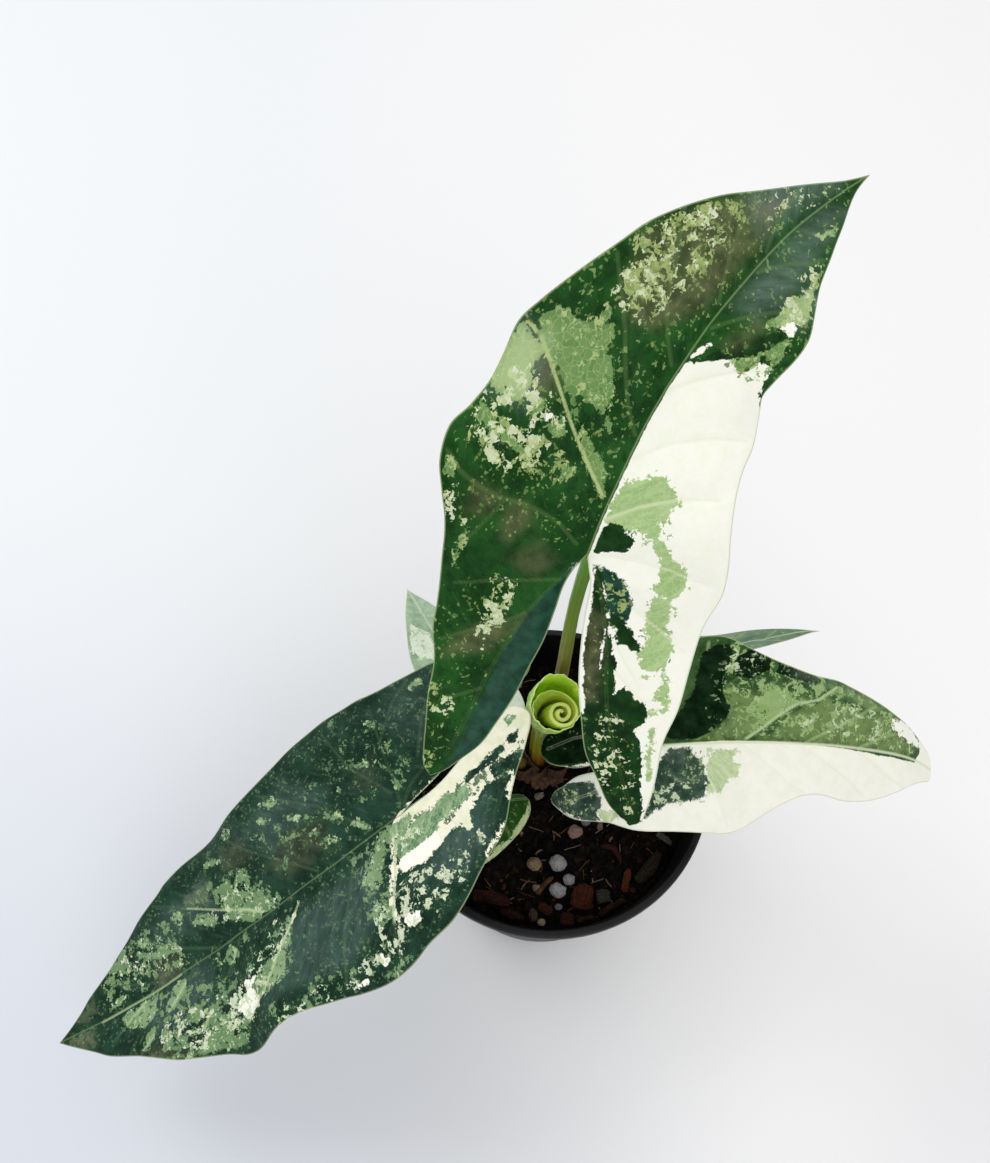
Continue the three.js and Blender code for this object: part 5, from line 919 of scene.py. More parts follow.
# ---------------------------------------------------------------- leaf stems
def stem_material(name, low, middle, high, stripe, reach=(0.26, 0.60)):
    N = Nodes(name)
    co, u, rib = N.attr("leaf", True), N.attr("u"), N.attr("rib")
    x = N.math("MULTIPLY_ADD", N.math("SUBTRACT", N.noise(co, 0.12, 3.0), 0.5), 0.35, u)
    colour = N.mix(N.step(x, *reach), low, middle)
    colour = N.mix(N.step(x, 0.66, 1.0), colour, high)
    streak = N.noise(N.vmath("MULTIPLY", co, (0.10, 2.2, 1.0)), 1.0, 4.0, 0.65)
    colour = N.mix(N.step(streak, 0.52, 0.75, 0.0, 0.6), colour, stripe)
    colour = N.mix(N.step(rib, -0.3, -1.0, 0.0, 0.35), colour, stripe)
    N.set(Base_Color=colour, Roughness=N.step(streak, 0.2, 0.8, 0.34, 0.52), Normal=N.bump(streak, 0.25, 0.0003))
    return N.mat


OLD = (lin(120, 98, 42), lin(116, 142, 34), lin(104, 158, 28), lin(62, 106, 18))
for name, stem in STEMS.items():
    big_one = name in ("upper", "lower_left", "right")
    ob = build_tube(name + "_stem_detail", stem["axis"], stem["r"], 90 if big_one else 60, 48 if big_one else 32, ribs=9 if big_one else 7, seed=len(name), flare=0.38 if name != "small_low" else 0.15)
    mat = stem_material("stalk_" + name, *OLD, reach=(0.42, 0.74))
    finish_piece(ob, mat, "stem", name + "_leaf_stem")
ob = build_tube("new_leaf_stalk", NEW_STEM["axis"], NEW_STEM["r"], 60, 56, ribs=8, rib=0.05, seed=3, flare=0.3)
finish_piece(ob, stem_material("stalk_new", lin(140, 88, 30), lin(158, 152, 34), lin(146, 178, 96), lin(100, 132, 52)), "stem", "new_leaf_stem")


# ---------------------------------------------------------------- the rolled new leaf
def build_roll():
    rings = np.array(ROLL)
    nv, na, turns = 64, 340, 3.3
    axis = catmull(rings[:, :3], nv)
    radius = np.interp(np.linspace(0, 1, nv + 1), np.linspace(0, 1, len(rings)), rings[:, 3])
    T, E1, E2 = frames_along(axis)
    V, P = np.meshgrid(np.linspace(0, 1, nv + 1), np.linspace(0, 1, na + 1), indexing="ij")
    ease = lambda x, a, b: (lambda q: q * q * (3 - 2 * q))(np.clip((x - a) / (b - a), 0, 1))
    n = P * turns
    # the free margin runs from the tip at the back left, down across the front, to the low side at the right
    ang = np.radians(318 - 165 * ease(V, 0.42, 1.0)) - n * 2 * np.pi
    rim = 1.13 - 0.22 * ease(n, 0.0, 0.62) - 0.05 * ease(n, 1.1, 2.2) + 0.012 * np.sin(9 * n)
    H = V * rim
    top = axis[-1] - axis[-2]
    over = np.clip(H - 1, 0, 1)[..., None] * nv * top
    i = np.clip(H, 0, 1) * nv
    j = np.clip(i.round().astype(int), 0, nv)
    A = np.stack([np.interp(i, np.arange(nv + 1), axis[:, k]) for k in range(3)], -1) + over
    wide = np.interp(i, np.arange(nv + 1), radius)
    # an open outer wrap, then a tight coil that lies against its front right side
    k = np.interp(n, [0, 0.5, 0.85, 1.25, 1.7, 2.5, 3.3], [1.04, 1.0, 0.97, 0.66, 0.53, 0.33, 0.13])
    k = 0.97 * (1 - V ** 0.7) * (1 - 0.22 * P) + k * V ** 0.7
    shift = ease(n, 0.75, 1.45) * V ** 0.8 * wide * 0.40
    R = wide * k + 0.5 * ease(H, 0.82, 1.08) * (n < 1.0) * (1 - ease(n, 0.6, 1.0)) - 0.8 * np.exp(-((n / 0.06) ** 2)) * V * ease(V, 0.3, 0.8)
    R = R + (0.22 * np.sin(11 * ang + 5 * V) + 0.12 * np.sin(23 * ang + 2)) * V * (1 - ease(n, 0.9, 1.3))
    cx, cy = shift * math.cos(math.radians(-42)), shift * math.sin(math.radians(-42))

    def at(r):
        return A + E1[j] * (r * np.cos(ang) + cx)[..., None] + E2[j] * (r * np.sin(ang) + cy)[..., None]

    pos, inner = at(R), at(R - 0.34 - 0.8 * ease(n, 1.15, 1.6) * ease(V, 0.5, 0.9))
    n = pos.shape[0] * pos.shape[1]
    ids = np.arange(n).reshape(pos.shape[:2])
    tris = [grid_tris(ids), grid_tris(ids + n, flip=True)]
    ring = np.concatenate([ids[0, :], ids[1:, -1], ids[-1, -2::-1], ids[-2:0:-1, 0]])
    nxt = np.roll(ring, -1)
    tris.append(np.stack([ring, nxt, nxt + n], 1))
    tris.append(np.stack([ring, nxt + n, ring + n], 1))
    vv = np.vstack([pos.reshape(-1, 3), inner.reshape(-1, 3)])
    att = dict(v=np.tile(V.ravel(), 2), p=np.tile((P * turns).ravel(), 2), side=np.repeat([1.0, 0.0], n))
    vec = np.column_stack([np.tile((V * 30).ravel(), 2), np.tile((ang * 7).ravel(), 2), np.zeros(2 * n)])
    ob = mesh_object("new_leaf_roll_detail", vv, np.vstack(tris), att, {"leaf": vec}, sharp=55)
    fix_normals(ob)
    N = Nodes("rolled_leaf")
    co, V_, P_, S_ = N.attr("leaf", True), N.attr("v"), N.attr("p"), N.attr("side")
    vein = N.voronoi(N.vmath("MULTIPLY", N.vmath("ADD", co, N.vmath("SCALE", N.noise(co, 0.25, 2.0, colour=True), scale=3.0)), (0.10, 0.42, 1.0)), 1.0, "DISTANCE_TO_EDGE").outputs["Distance"]
    mott = N.noise(co, 0.35, 4.0, 0.6)
    out = N.mix(N.step(mott, 0.4, 0.65), lin(130, 184, 64), lin(162, 204, 98))
    out = N.mix(N.step(vein, 0.12, 0.02, 0.0, 0.6), out, lin(196, 214, 152))
    out = N.mix(N.step(V_, 0.0, 0.45, 0.75, 0.0), out, lin(138, 166, 108))
    # the inside's lime green is painted brighter than the leaf is, as painted light against the shade in the cup
    inn = N.mix(N.step(mott, 0.4, 0.65), lin(166, 218, 50), lin(198, 234, 80))
    inn = N.mix(N.step(vein, 0.10, 0.02, 0.0, 0.35), inn, lin(190, 210, 96))
    # painted shade: darker lower down in the cup
    painted_cup_shade = N.step(V_, 0.95, 0.50, 0.0, 0.6)
    inn = N.mix(painted_cup_shade, inn, lin(146, 198, 38))
    col = N.mix(S_, inn, out)
    # the coil is painted a very bright lime, as painted light against its own shadow, and darker lower down as painted
    # shade
    col = N.mix(N.step(P_, 0.95, 1.5, 0.0, 0.9), col, N.mix(painted_cup_shade, N.mix(N.step(mott, 0.4, 0.6), lin(236, 246, 92), lin(246, 250, 130)), lin(214, 234, 58)))
    col = N.mix(N.step(V_, 0.965, 0.995, 0.0, 0.8), col, lin(206, 226, 132))
    col = N.mix(N.math("MULTIPLY", N.step(P_, 0.05, 0.015), N.step(V_, 0.2, 0.5)), col, lin(196, 220, 128))
    N.set(Base_Color=col, Roughness=N.step(mott, 0.2, 0.8, 0.36, 0.5), Normal=N.bump(vein, 0.2, 0.0003))
    N.bsdf.inputs["Subsurface Weight"].default_value = 0.5
    N.bsdf.inputs["Subsurface Radius"].default_value = (0.6, 1.0, 0.25)
    N.bsdf.inputs["Subsurface Scale"].default_value = 0.003
    finish_piece(ob, N.mat, "roll", "new_leaf_roll")


build_roll()


# ---------------------------------------------------------------- nursery pot
def wall_at(z):
    return POT_R_BASE + (POT_R_TOP - POT_R_BASE) * z / POT_H


def lathe(profile, seg, name, cx=0.0, cy=0.0, shape=None):
    """A closed surface of revolution; the profile starts and ends on the axis."""
    prof = np.array(profile, float)
    a = np.linspace(0, 2 * np.pi, seg, endpoint=False)
    R, A = np.meshgrid(prof[1:-1, 0], a, indexing="ij")
    Z = np.repeat(prof[1:-1, 1][:, None], seg, 1)
    X, Y = R * np.cos(A), R * np.sin(A)
    if shape is not None:
        X, Y, Z = shape(X, Y, Z, A)
    n = X.size
    v = np.vstack([np.column_stack([(X + cx).ravel(), (Y + cy).ravel(), Z.ravel()]), [(cx, cy, prof[0, 1]), (cx, cy, prof[-1, 1])]])
    ids = np.arange(n).reshape(X.shape)
    ids = np.hstack([ids, ids[:, :1]])
    j = np.arange(seg)
    k = (j + 1) % seg
    last = n - seg
    tris = np.vstack([grid_tris(ids, flip=True), np.stack([np.full(seg, n), k, j], 1), np.stack([np.full(seg, n + 1), last + j, last + k], 1)])
    return mesh_object(name, v, tris, sharp=38)


def build_pot():
    w = wall_at
    inside_ = lambda z: w(z) - POT_WALL
    arc = lambda r, z, rr, a0, a1, n: [(r + rr * math.cos(math.radians(a0 + (a1 - a0) * i / n)), z + rr * math.sin(math.radians(a0 + (a1 - a0) * i / n))) for i in range(n + 1)]
    prof = [(0, 0.0), (22, 0.0), (34, 0.0), (POT_R_BASE - 3.4, 0.0), (POT_R_BASE - 3.0, 0.0)] + arc(POT_R_BASE - 1.0, 1.0, 1.0, -90, -10, 4)
    prof += [(w(z), z) for z in (4, 12, 20, 28, 36, 44, 52, 60, 68, 76, 84, 90, 94)] + [(w(95.6), 95.6), (w(96.3) + 0.15, 96.3)]
    prof += arc(59.2, 97.2, 0.8, -90, 0, 4) + arc(59.2, 99.2, 0.8, 0, 90, 5) + [(58.6, 100.0), (57.9, 99.95)] + arc(57.9, 99.35, 0.6, 90, 180, 4)
    prof += [(inside_(z) - 0.0, z) for z in (98, 95)] + [(inside_(92) - 0.05, 92.3), (inside_(91.6) - 0.35, 91.6), (inside_(90), 90.6)] + [(inside_(z), z) for z in (84, 70, 50, 30, 12, POT_FLOOR + 2.0)]
    prof += arc(inside_(POT_FLOOR) - 2.0, POT_FLOOR + 2.0, 2.0, 0, -90, 4) + [(30, POT_FLOOR), (20, POT_FLOOR), (0, POT_FLOOR)]

    def out_of_round(X, Y, Z, A):
        k = 1 + 0.0012 * np.sin(2 * A + 0.7) * Z / 100 + 0.0006 * np.sin(5 * A + Z * 0.03)
        return X * k, Y * k, Z

    ob = lathe(prof, 208, "pot_detail", shape=out_of_round)
    cut = bmesh.new()
    for i in range(DRAINS):
        a = 2 * math.pi * (i + 0.5) / DRAINS
        ring = bmesh.ops.create_cone(cut, cap_ends=True, segments=28, radius1=DRAIN_R * MM, radius2=DRAIN_R * MM, depth=12 * MM)
        bmesh.ops.translate(cut, verts=ring["verts"], vec=(DRAIN_RING * math.cos(a) * MM, DRAIN_RING * math.sin(a) * MM, 0))
    cm = bpy.data.meshes.new("drain_cutter")
    cut.to_mesh(cm)
    cut.free()
    co = bpy.data.objects.new("drain_cutter", cm)
    bpy.context.scene.collection.objects.link(co)
    mod = ob.modifiers.new("drains", "BOOLEAN")
    mod.operation, mod.object, mod.solver = "DIFFERENCE", co, "EXACT"
    done = bpy.data.meshes.new_from_object(ob.evaluated_get(bpy.context.evaluated_depsgraph_get()))
    ob.modifiers.remove(mod)
    ob.data = done
    bpy.data.objects.remove(co)
    done.set_sharp_from_angle(angle=math.radians(38))
    N = Nodes("pot_plastic")
    c = N.new("TexCoord").outputs["Object"]
    grain = N.noise(c, 900.0, 3.0, 0.6)
    cloud = N.noise(c, 24.0, 4.0, 0.6)
    dust = N.noise(c, 130.0, 5.0, 0.7)
    col = N.mix(N.step(cloud, 0.35, 0.7), (0.0065, 0.0065, 0.007, 1), (0.013, 0.013, 0.014, 1))
    z = N.new("SeparateXYZ", {0: c}).outputs[2]
    high = N.step(z, 0.082, 0.099)
    col = N.mix(N.math("MULTIPLY", N.step(dust, 0.60, 0.74), N.math("MULTIPLY_ADD", high, 0.32, 0.08)), col, lin(96, 84, 72))
    rings = N.math("SINE", N.math("MULTIPLY", z, 2100.0))
    N.set(Base_Color=col, Roughness=N.step(dust, 0.25, 0.8, 0.34, 0.58), Normal=N.bump(N.math("MULTIPLY_ADD", rings, 0.12, grain), 0.16, 0.0002))
    N.bsdf.inputs["Specular IOR Level"].default_value = 0.22
    finish_piece(ob, N.mat, "pot", "nursery_pot")


build_pot()


# ---------------------------------------------------------------- potting mix
def soil_height(x, y):
    base = SOIL_TOP - 0.7 + 0.35 * np.sin(0.21 * x + 1.3) * np.cos(0.17 * y) + 0.35 * np.sin(0.43 * x - 0.31 * y)
    return base + 0.55 * wobble(x, y, 21, 0.35) + 0.40 * wobble(x, y, 22, 0.9) + 0.30 * wobble(x, y, 23, 2.0)


def mix_material():
    N = Nodes("potting_mix_skin")
    c = N.new("TexCoord").outputs["Object"]
    lump = N.voronoi(c, 620.0)
    crumb = N.voronoi(c, 1500.0)
    fibre = N.noise(N.vmath("MULTIPLY", c, (1.0, 0.25, 1.0)), 900.0, 4.0, 0.7)
    k = N.split(lump.outputs["Color"])
    col = N.mix(N.step(k[0], 0.1, 0.95), (0.0024, 0.002, 0.0019, 1), (0.0085, 0.0058, 0.0046, 1))
    col = N.mix(N.math("MULTIPLY", N.math("GREATER_THAN", k[1], 0.92), 0.5), col, lin(56, 34, 22))
    col = N.mix(N.step(fibre, 0.66, 0.76, 0.0, 0.25), col, lin(76, 54, 38))
    h = N.math("MULTIPLY_ADD", lump.outputs["Distance"], -0.9, N.math("MULTIPLY", crumb.outputs["Distance"], -0.4))
    N.set(Base_Color=col, Roughness=N.step(k[2], 0.0, 1.0, 0.72, 0.95), Normal=N.bump(h, 0.9, 0.0011))
    N.bsdf.inputs["Specular IOR Level"].default_value = 0.10
    return N.mat


MIX_SKIN = mix_material()


def build_soil():
    seg, rings = 260, 84
    r_top = wall_at(SOIL_TOP - 1) - POT_WALL - 0.35
    a = np.linspace(0, 2 * np.pi, seg, endpoint=False)
    r = r_top * np.linspace(0, 1, rings + 1)[1:]
    R, A = np.meshgrid(r, a, indexing="ij")
    X, Y = R * np.cos(A), R * np.sin(A)
    Z = soil_height(X, Y)
    rows_x, rows_y, rows_z = [X], [Y], [Z]
    for z in (70.0, 40.0, POT_FLOOR + 1.8, POT_FLOOR + 0.35):
        rr = wall_at(z) - POT_WALL - 0.35 - (1.8 if z < POT_FLOOR + 1 else 0.1)
        rr = rr + 0.12 * wobble(a * 30, np.full(seg, z), 31, 1.0) - 0.12
        rows_x.append((rr * np.cos(a))[None]); rows_y.append((rr * np.sin(a))[None]); rows_z.append(np.full((1, seg), z))
    X, Y, Z = np.vstack(rows_x), np.vstack(rows_y), np.vstack(rows_z)
    n = X.size
    v = np.vstack([np.column_stack([X.ravel(), Y.ravel(), Z.ravel()]), [(0, 0, float(soil_height(np.array([0.0]), np.array([0.0]))[0])), (0, 0, POT_FLOOR + 0.35)]])
    ids = np.arange(n).reshape(X.shape)
    ids = np.hstack([ids, ids[:, :1]])
    j = np.arange(seg); k = (j + 1) % seg
    last = n - seg
    tris = np.vstack([grid_tris(ids), np.stack([np.full(seg, n), j, k], 1), np.stack([np.full(seg, n + 1), last + k, last + j], 1)])
    ob = mesh_object("mix_body", v, tris, sharp=80)
    finish_piece(ob, MIX_SKIN, "mix", "potting_mix")


def ico(sub):
    bm = bmesh.new()
    bmesh.ops.create_icosphere(bm, subdivisions=sub, radius=1.0)
    bm.verts.ensure_lookup_table()
    v = np.array([q.co[:] for q in bm.verts])
    f = np.array([[q.index for q in face.verts] for face in bm.faces])
    bm.free()
    return v, f


def turned(rng):
    q = rng.normal(size=4)
    q /= np.linalg.norm(q)
    w, x, y, z = q
    return np.array([[1 - 2 * (y * y + z * z), 2 * (x * y - z * w), 2 * (x * z + y * w)], [2 * (x * y + z * w), 1 - 2 * (x * x + z * z), 2 * (y * z - x * w)],
                     [2 * (x * z - y * w), 2 * (y * z + x * w), 1 - 2 * (x * x + y * y)]])


def build_crumbs():
    """Lumps, fines and fibres of the mix, lying on its surface as one piece."""
    rng = np.random.default_rng(40)
    v0, f0 = ico(1)
    v1, f1 = ico(2)
    V, F, tone, base = [], [], [], 0
    r_top = wall_at(SOIL_TOP) - POT_WALL - 1.2

    def put(v, f, t):
        nonlocal base
        V.append(v); F.append(f + base); tone.append(np.full(len(v), t)); base += len(v)

    for i in range(1500):
        r, a = r_top * math.sqrt(rng.uniform(0, 1)), rng.uniform(0, 2 * np.pi)
        size = rng.choice([0.5, 0.8, 1.2, 1.9, 2.6], p=[0.34, 0.32, 0.2, 0.1, 0.04])
        x, y = (r - size * 0.6) * math.cos(a), (r - size * 0.6) * math.sin(a)
        vv, ff = (v1, f1) if size > 1.5 else (v0, f0)
        lump = vv * (1 + 0.28 * rng.normal(size=(len(vv), 1)) * (0.6 if size > 1.5 else 1.0))
        lump = lump * (size * rng.uniform(0.7, 1.3), size * rng.uniform(0.5, 1.0), size * rng.uniform(0.4, 0.8))
        z = float(soil_height(np.array([x]), np.array([y]))[0])
        put(lump @ turned(rng).T + (x, y, z + size * 0.22), ff, rng.uniform(0, 1))
    for i in range(170):
        r, a = (r_top - 5) * math.sqrt(rng.uniform(0, 1)), rng.uniform(0, 2 * np.pi)
        x, y, d, L = r * math.cos(a), r * math.sin(a), rng.uniform(0, np.pi), rng.uniform(3, 8)
        k = np.linspace(-0.5, 0.5, 7)
        px, py = x + L * k * math.cos(d) + rng.uniform(-1, 1) * k * k * 2, y + L * k * math.sin(d) + rng.uniform(-1, 1) * k * k * 2
        rad_here = np.hypot(px, py)
        if rad_here.max() > r_top:
            continue
        pz = soil_height(px, py) + rng.uniform(0.4, 1.1) + 0.8 * k * rng.uniform(-1, 1)
        p = np.column_stack([px, py, pz])
        T, E1, E2 = frames_along(p + np.array([0, 0, 1e-6]))
        ring_a = np.linspace(0, 2 * np.pi, 5, endpoint=False)
        rr = rng.uniform(0.12, 0.3)
        ring = p[:, None] + rr * (E1[:, None] * np.cos(ring_a)[:, None] + E2[:, None] * np.sin(ring_a)[:, None])
        ids = np.arange(35).reshape(7, 5)
        ids = np.hstack([ids, ids[:, :1]])
        put(ring.reshape(-1, 3), grid_tris(ids, flip=True), rng.uniform(0.75, 1.6))
    ob = mesh_object("mix_crumbs", np.vstack(V), np.vstack(F), dict(tone=np.concatenate(tone)), sharp=42)
    N = Nodes("crumb_skin")
    c = N.new("TexCoord").outputs["Object"]
    t = N.attr("tone")
    n = N.noise(c, 700.0, 4.0, 0.65)
    col = N.mix(N.step(t, 0.35, 0.85), (0.0024, 0.002, 0.002, 1), (0.0075, 0.0052, 0.0042, 1))
    col = N.mix(N.step(t, 0.88, 0.93), col, lin(74, 48, 32))
    col = N.mix(N.step(t, 0.975, 0.985), col, lin(128, 112, 98))
    col = N.mix(N.step(t, 1.1, 1.3), col, lin(104, 70, 42))
    col = N.mix(N.step(n, 0.55, 0.8, 0.0, 0.25), col, lin(48, 34, 28))
    N.set(Base_Color=col, Roughness=N.step(n, 0.2, 0.8, 0.66, 0.92), Normal=N.bump(n, 0.6, 0.0006))
    N.bsdf.inputs["Specular IOR Level"].default_value = 0.12
    finish_piece(ob, N.mat, "mix")


build_soil()
build_crumbs()


# ---------------------------------------------------------------- bark chips
def cube_ball(n):
    """A cube's surface as a grid, points between -1 and 1."""
    k = np.linspace(-1, 1, n + 1)
    U, W = np.meshgrid(k, k, indexing="ij")
    V, F, base = [], [], 0
    for ax in range(3):
        for sgn in (-1, 1):
            p = np.zeros((n + 1, n + 1, 3))
            p[..., ax], p[..., (ax + 1) % 3], p[..., (ax + 2) % 3] = sgn, U, W
            ids = base + np.arange((n + 1) ** 2).reshape(n + 1, n + 1)
            V.append(p.reshape(-1, 3)); F.append(grid_tris(ids, flip=sgn < 0)); base += (n + 1) ** 2
    return weld(np.vstack(V), np.vstack(F))


CUBE_V, CUBE_F = cube_ball(14)
BARK_LOOK = [  # two colours of the skin, and one of the torn edges
    (lin(126, 62, 36), lin(84, 38, 24), lin(168, 104, 66)), (lin(104, 54, 34), lin(66, 34, 24), lin(140, 88, 60)), (lin(96, 50, 34), lin(62, 34, 26), lin(132, 84, 60)),
    (lin(112, 56, 40), lin(70, 36, 28), lin(140, 86, 66)), (lin(120, 66, 48), lin(82, 44, 34), lin(150, 100, 78)), (lin(168, 128, 86), lin(120, 84, 54), lin(196, 160, 116)),
    (lin(176, 98, 46), lin(120, 62, 32), lin(204, 140, 84)), (lin(110, 60, 46), lin(68, 38, 30), lin(150, 96, 76)), (lin(92, 82, 54), lin(58, 50, 34), lin(128, 116, 82)),
    (lin(98, 66, 42), lin(62, 42, 30), lin(136, 98, 66)), (lin(104, 70, 46), lin(66, 44, 30), lin(140, 102, 70)), (lin(170, 162, 152), lin(122, 112, 102), lin(200, 194, 186)),
    (lin(110, 112, 98), lin(74, 74, 62), lin(140, 142, 126)), (lin(160, 118, 108), lin(112, 78, 70), lin(190, 150, 140)),
    (lin(104, 56, 36), lin(66, 36, 26), lin(140, 90, 62)), (lin(88, 50, 34), lin(56, 34, 26), lin(126, 84, 60)), (lin(112, 60, 38), lin(70, 38, 26), lin(148, 94, 64)), (lin(94, 56, 38), lin(60, 38, 28), lin(130, 88, 62))]


def build_chip(i, spec):
    x, y, lift, length, width, thick, turn, tilt, curl = spec
    rng = np.random.default_rng(100 + i)
    p = CUBE_V.copy()
    # square ends with soft corners, a torn outline and layered skin
    q = p / (np.sum(np.abs(p) ** 7, axis=1) ** (1 / 7))[:, None]
    u, v, w = q.T
    twig = width < thick * 1.5
    half_w = 1 - 0.10 * u + 0.07 * np.sin(5 * u + i) + 0.08 * wobble(u * 6, w * 2, 200 + i, 1.0)
    half_w = half_w * (1 - (0.38 if twig else 0.22) * np.abs(u) ** 5)
    X = u * length / 2 * (1 + 0.05 * wobble(v * 4, w * 3, 300 + i, 1.0))
    Y = v * width / 2 * half_w * (np.sqrt(1 - 0.42 * w * w) if twig else 1)
    Z = w * thick / 2 * (np.sqrt(1 - 0.42 * v * v) if twig else 1 - 0.18 * v * v)
    grain = 0.07 * thick * wobble(u * 3, v * 7 + w * 4, 400 + i, 1.6) + 0.035 * thick * wobble(u * 9, v * 16 + w * 9, 500 + i, 2.0)
    Z = Z + grain
    Y = Y + 0.06 * width * wobble(u * 7, w * 5, 600 + i, 1.5) + curl * (0.5 - u * u)
    Z = Z * (1 - 0.22 * np.abs(u) ** 6)
    ct, st_, cz, sz = math.cos(math.radians(tilt)), math.sin(math.radians(tilt)), math.cos(math.radians(turn)), math.sin(math.radians(turn))
    rise = (length / 2) * st_ + (thick / 2) * ct
    # tilt about y by the negative angle, then turn about z, as in the model
    X2, Z2 = X * ct - Z * st_, X * st_ + Z * ct
    P = np.column_stack([x + X2 * cz - Y * sz, y + X2 * sz + Y * cz, SOIL_TOP + lift + rise + Z2])
    ob = mesh_object("chip_%d_detail" % (i + 1), P, CUBE_F, None, {"leaf": np.column_stack([X, Y, Z])}, sharp=48)
    # painted shade: all three colours are darkened to 0.4, for the shade of the leaves over the chips
    a, b, torn = (dim(k, 0.40) for k in BARK_LOOK[i])
    N = Nodes("bark_%d" % (i + 1))
    c = N.attr("leaf", True)
    fibre = N.noise(N.vmath("MULTIPLY", c, (0.22, 1.5, 2.4)), 1.0 + 0.02 * i, 5.0, 0.65)
    crust = N.voronoi(N.vmath("MULTIPLY", c, (0.5, 1.1, 1.0)), 1.2, "DISTANCE_TO_EDGE").outputs["Distance"]
    fleck = N.noise(c, 3.4, 3.0, 0.7)
    col = N.mix(N.step(fibre, 0.34, 0.66), b, a)
    col = N.mix(N.step(fibre, 0.60, 0.78, 0.0, 0.7), col, torn)
    col = N.mix(N.step(crust, 0.10, 0.01, 0.0, 0.6), col, dim(b, 0.35))
    col = N.mix(N.step(fleck, 0.56, 0.70, 0.0, 0.55), col, dim(b, 0.22))
    h = N.math("ADD", N.math("MULTIPLY", fibre, 0.8), N.math("MULTIPLY", N.step(crust, 0.0, 0.12), 0.5))
    N.set(Base_Color=col, Roughness=N.step(fleck, 0.2, 0.8, 0.62, 0.9), Normal=N.bump(h, 0.7, 0.0007))
    N.bsdf.inputs["Specular IOR Level"].default_value = 0.15
    finish_piece(ob, N.mat, "bark", "bark_chip_%d" % (i + 1))


for i, spec in enumerate(BARK):
    build_chip(i, spec)

# ---------------------------------------------------------------- perlite and pumice grains
GRAIN_LOOK = [(206, 202, 206), (200, 196, 200), (188, 184, 190), (150, 148, 152), (206, 192, 158), (190, 156, 140), (178, 150, 118), (150, 150, 152), (196, 192, 194), (200, 196, 196), (186, 182, 184)]


def build_grain(i, spec):
    x, y, r = spec
    v, f = ico(4)
    k = 1 + 0.13 * wobble(v[:, 0] * 2, v[:, 1] * 2 + v[:, 2] * 1.6, 700 + i, 1.2) + 0.07 * wobble(v[:, 0] * 5 + v[:, 2] * 3, v[:, 1] * 5, 720 + i, 1.3) + 0.03 * wobble(v[:, 0] * 12, v[:, 1] * 12 + v[:, 2] * 9, 740 + i, 1.4)
    p = v * k[:, None] * (r * (1.06 if i != 0 else 1.1), r * 0.94, r * 0.82)
    ob = mesh_object("grain_%d_detail" % (i + 1), p + (x, y, SOIL_TOP + 0.4 + r * 0.9), f, None, {"leaf": p}, sharp=75)
    base = GRAIN_LOOK[i]
    N = Nodes("grain_%d" % (i + 1))
    c = N.attr("leaf", True)
    pit = N.voronoi(c, 1.5)
    n = N.noise(c, 1.3, 4.0, 0.65)
    col = N.mix(N.step(n, 0.32, 0.62), dim(lin(*base), 0.34), dim(lin(*base), 0.62))
    col = N.mix(N.step(pit.outputs["Distance"], 0.20, 0.06, 0.0, 0.75), col, dim(lin(*base), 0.25))
    h = N.math("MULTIPLY_ADD", N.step(pit.outputs["Distance"], 0.02, 0.3), 0.7, n)
    N.set(Base_Color=col, Roughness=N.step(n, 0.2, 0.8, 0.75, 0.95), Normal=N.bump(h, 0.7, 0.0006))
    finish_piece(ob, N.mat, "grain", "perlite_grain_%d" % (i + 1))


for i, spec in enumerate(GRAINS):
    build_grain(i, spec)


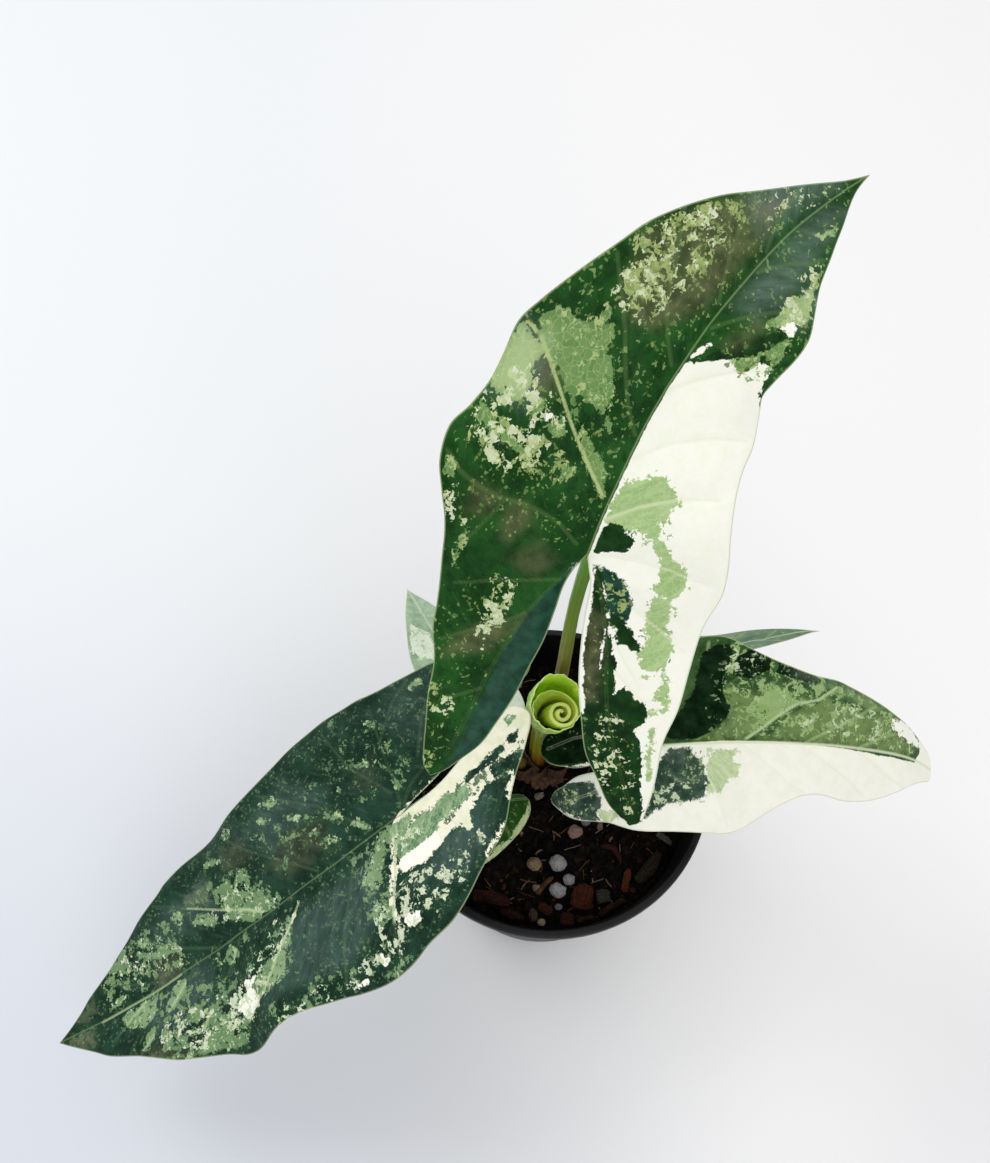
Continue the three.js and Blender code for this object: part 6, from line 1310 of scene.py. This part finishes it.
# ---------------------------------------------------------------- stem base with its dry sheaths
def build_base():
    c = CORM
    prof = [(0, SOIL_TOP + 0.35), (5, SOIL_TOP + 0.35), (c["r"] - 1.2, SOIL_TOP + 0.35), (c["r"] - 0.3, SOIL_TOP + 0.9), (c["r"], SOIL_TOP + 1.6), (c["r"] - 0.2, 84.0), (c["r"] - 0.6, 85.3),
            (c["r"] - 1.2, 85.8), (c["r"] - 2.2, 86.1), (7, 86.25), (5, 86.2), (2.5, 86.3), (0, 86.3)]

    def shape(X, Y, Z, A):
        k = 1 + 0.05 * np.sin(7 * A + 1.1) + 0.03 * np.sin(17 * A + Z) + 0.02 * np.sin(31 * A)
        return X * k, Y * k, Z + 0.18 * np.sin(11 * A) * (Z > 84)

    ob = lathe(prof, 140, "corm_detail", c["x"], c["y"], shape)
    N = Nodes("dry_sheath")
    co = N.new("TexCoord").outputs["Object"]
    fibre = N.noise(N.vmath("MULTIPLY", co, (1.0, 1.0, 0.16)), 900.0, 4.0, 0.65)
    spots = N.noise(co, 240.0, 4.0, 0.6)
    col = N.mix(N.step(fibre, 0.3, 0.7), lin(58, 38, 26), lin(112, 78, 48))
    col = N.mix(N.step(spots, 0.5, 0.7, 0.0, 0.7), col, lin(34, 24, 18))
    col = N.mix(N.step(fibre, 0.64, 0.76, 0.0, 0.5), col, lin(156, 122, 82))
    N.set(Base_Color=col, Roughness=N.step(spots, 0.2, 0.8, 0.6, 0.88), Normal=N.bump(fibre, 0.6, 0.0005))
    finish_piece(ob, N.mat, "corm", "stem_base")
    # torn papery strips that stand round the feet of the stems
    V, F, base = [], [], 0
    feet = [(NEW_STEM["axis"], 3.3, 22, 17, 200), (NEW_STEM["axis"], 3.3, 15, 30, 20), (STEMS["upper"]["axis"], 2.9, 24, 20, 250), (STEMS["upper"]["axis"], 2.9, 14, 30, 60),
            (STEMS["right"]["axis"], 2.7, 16, 22, 300), (STEMS["lower_left"]["axis"], 2.7, 17, 20, 230), (STEMS["back_left"]["axis"], 2.4, 15, 20, 120), (STEMS["back_right"]["axis"], 2.4, 8, 18, 30)]
    for k, (axis, r, tall, lean, face) in enumerate(feet):
        rng = np.random.default_rng(900 + k)
        line = catmull(axis, 80)
        s = np.concatenate([[0], np.cumsum(np.linalg.norm(np.diff(line, axis=0), axis=1))])
        nu, nv = 36, 26
        wrap = math.radians(rng.uniform(170, 235))
        A = math.radians(face) + np.linspace(-0.5, 0.5, nu + 1) * wrap
        H = np.linspace(0, 1, nv + 1)
        HH, AA = np.meshgrid(H, A, indexing="ij")
        top = tall * (1 - 0.55 * np.abs(np.linspace(-1, 1, nu + 1)) ** 1.6 + 0.10 * wobble(np.linspace(0, 9, nu + 1), np.zeros(nu + 1), 910 + k, 1.6))
        along = HH * top[None, :]
        P = np.stack([np.interp(along, s, line[:, q]) for q in range(3)], -1)
        rr = (r * 1.32 + 0.4 + 0.05 * lean * HH ** 2.2 + 0.16 * np.sin(9 * AA + k) * HH + 0.12 * wobble(AA * 6, HH * 6, 920 + k, 1.2))
        outer = P + np.stack([rr * np.cos(AA), rr * np.sin(AA), np.zeros_like(rr)], -1)
        inner = P + np.stack([(rr - 0.22) * np.cos(AA), (rr - 0.22) * np.sin(AA), np.zeros_like(rr)], -1)
        n = outer.shape[0] * outer.shape[1]
        ids = base + np.arange(n).reshape(outer.shape[:2])
        ring = np.concatenate([ids[0, :], ids[1:, -1], ids[-1, -2::-1], ids[-2:0:-1, 0]])
        nxt = np.roll(ring, -1)
        V += [outer.reshape(-1, 3), inner.reshape(-1, 3)]
        F += [grid_tris(ids, flip=True), grid_tris(ids + n), np.stack([ring, nxt, nxt + n], 1), np.stack([ring, nxt + n, ring + n], 1)]
        base += 2 * n
    ob = mesh_object("dry_sheaths", np.vstack(V), np.vstack(F), sharp=60)
    fix_normals(ob)
    finish_piece(ob, N.mat, "corm")


build_base()

plain = lambda b: [[float(x) for x in c] for c in b]
bpy.context.view_layer.update()
{"cad": plain(CAD_BOX), "visual": plain(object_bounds())}
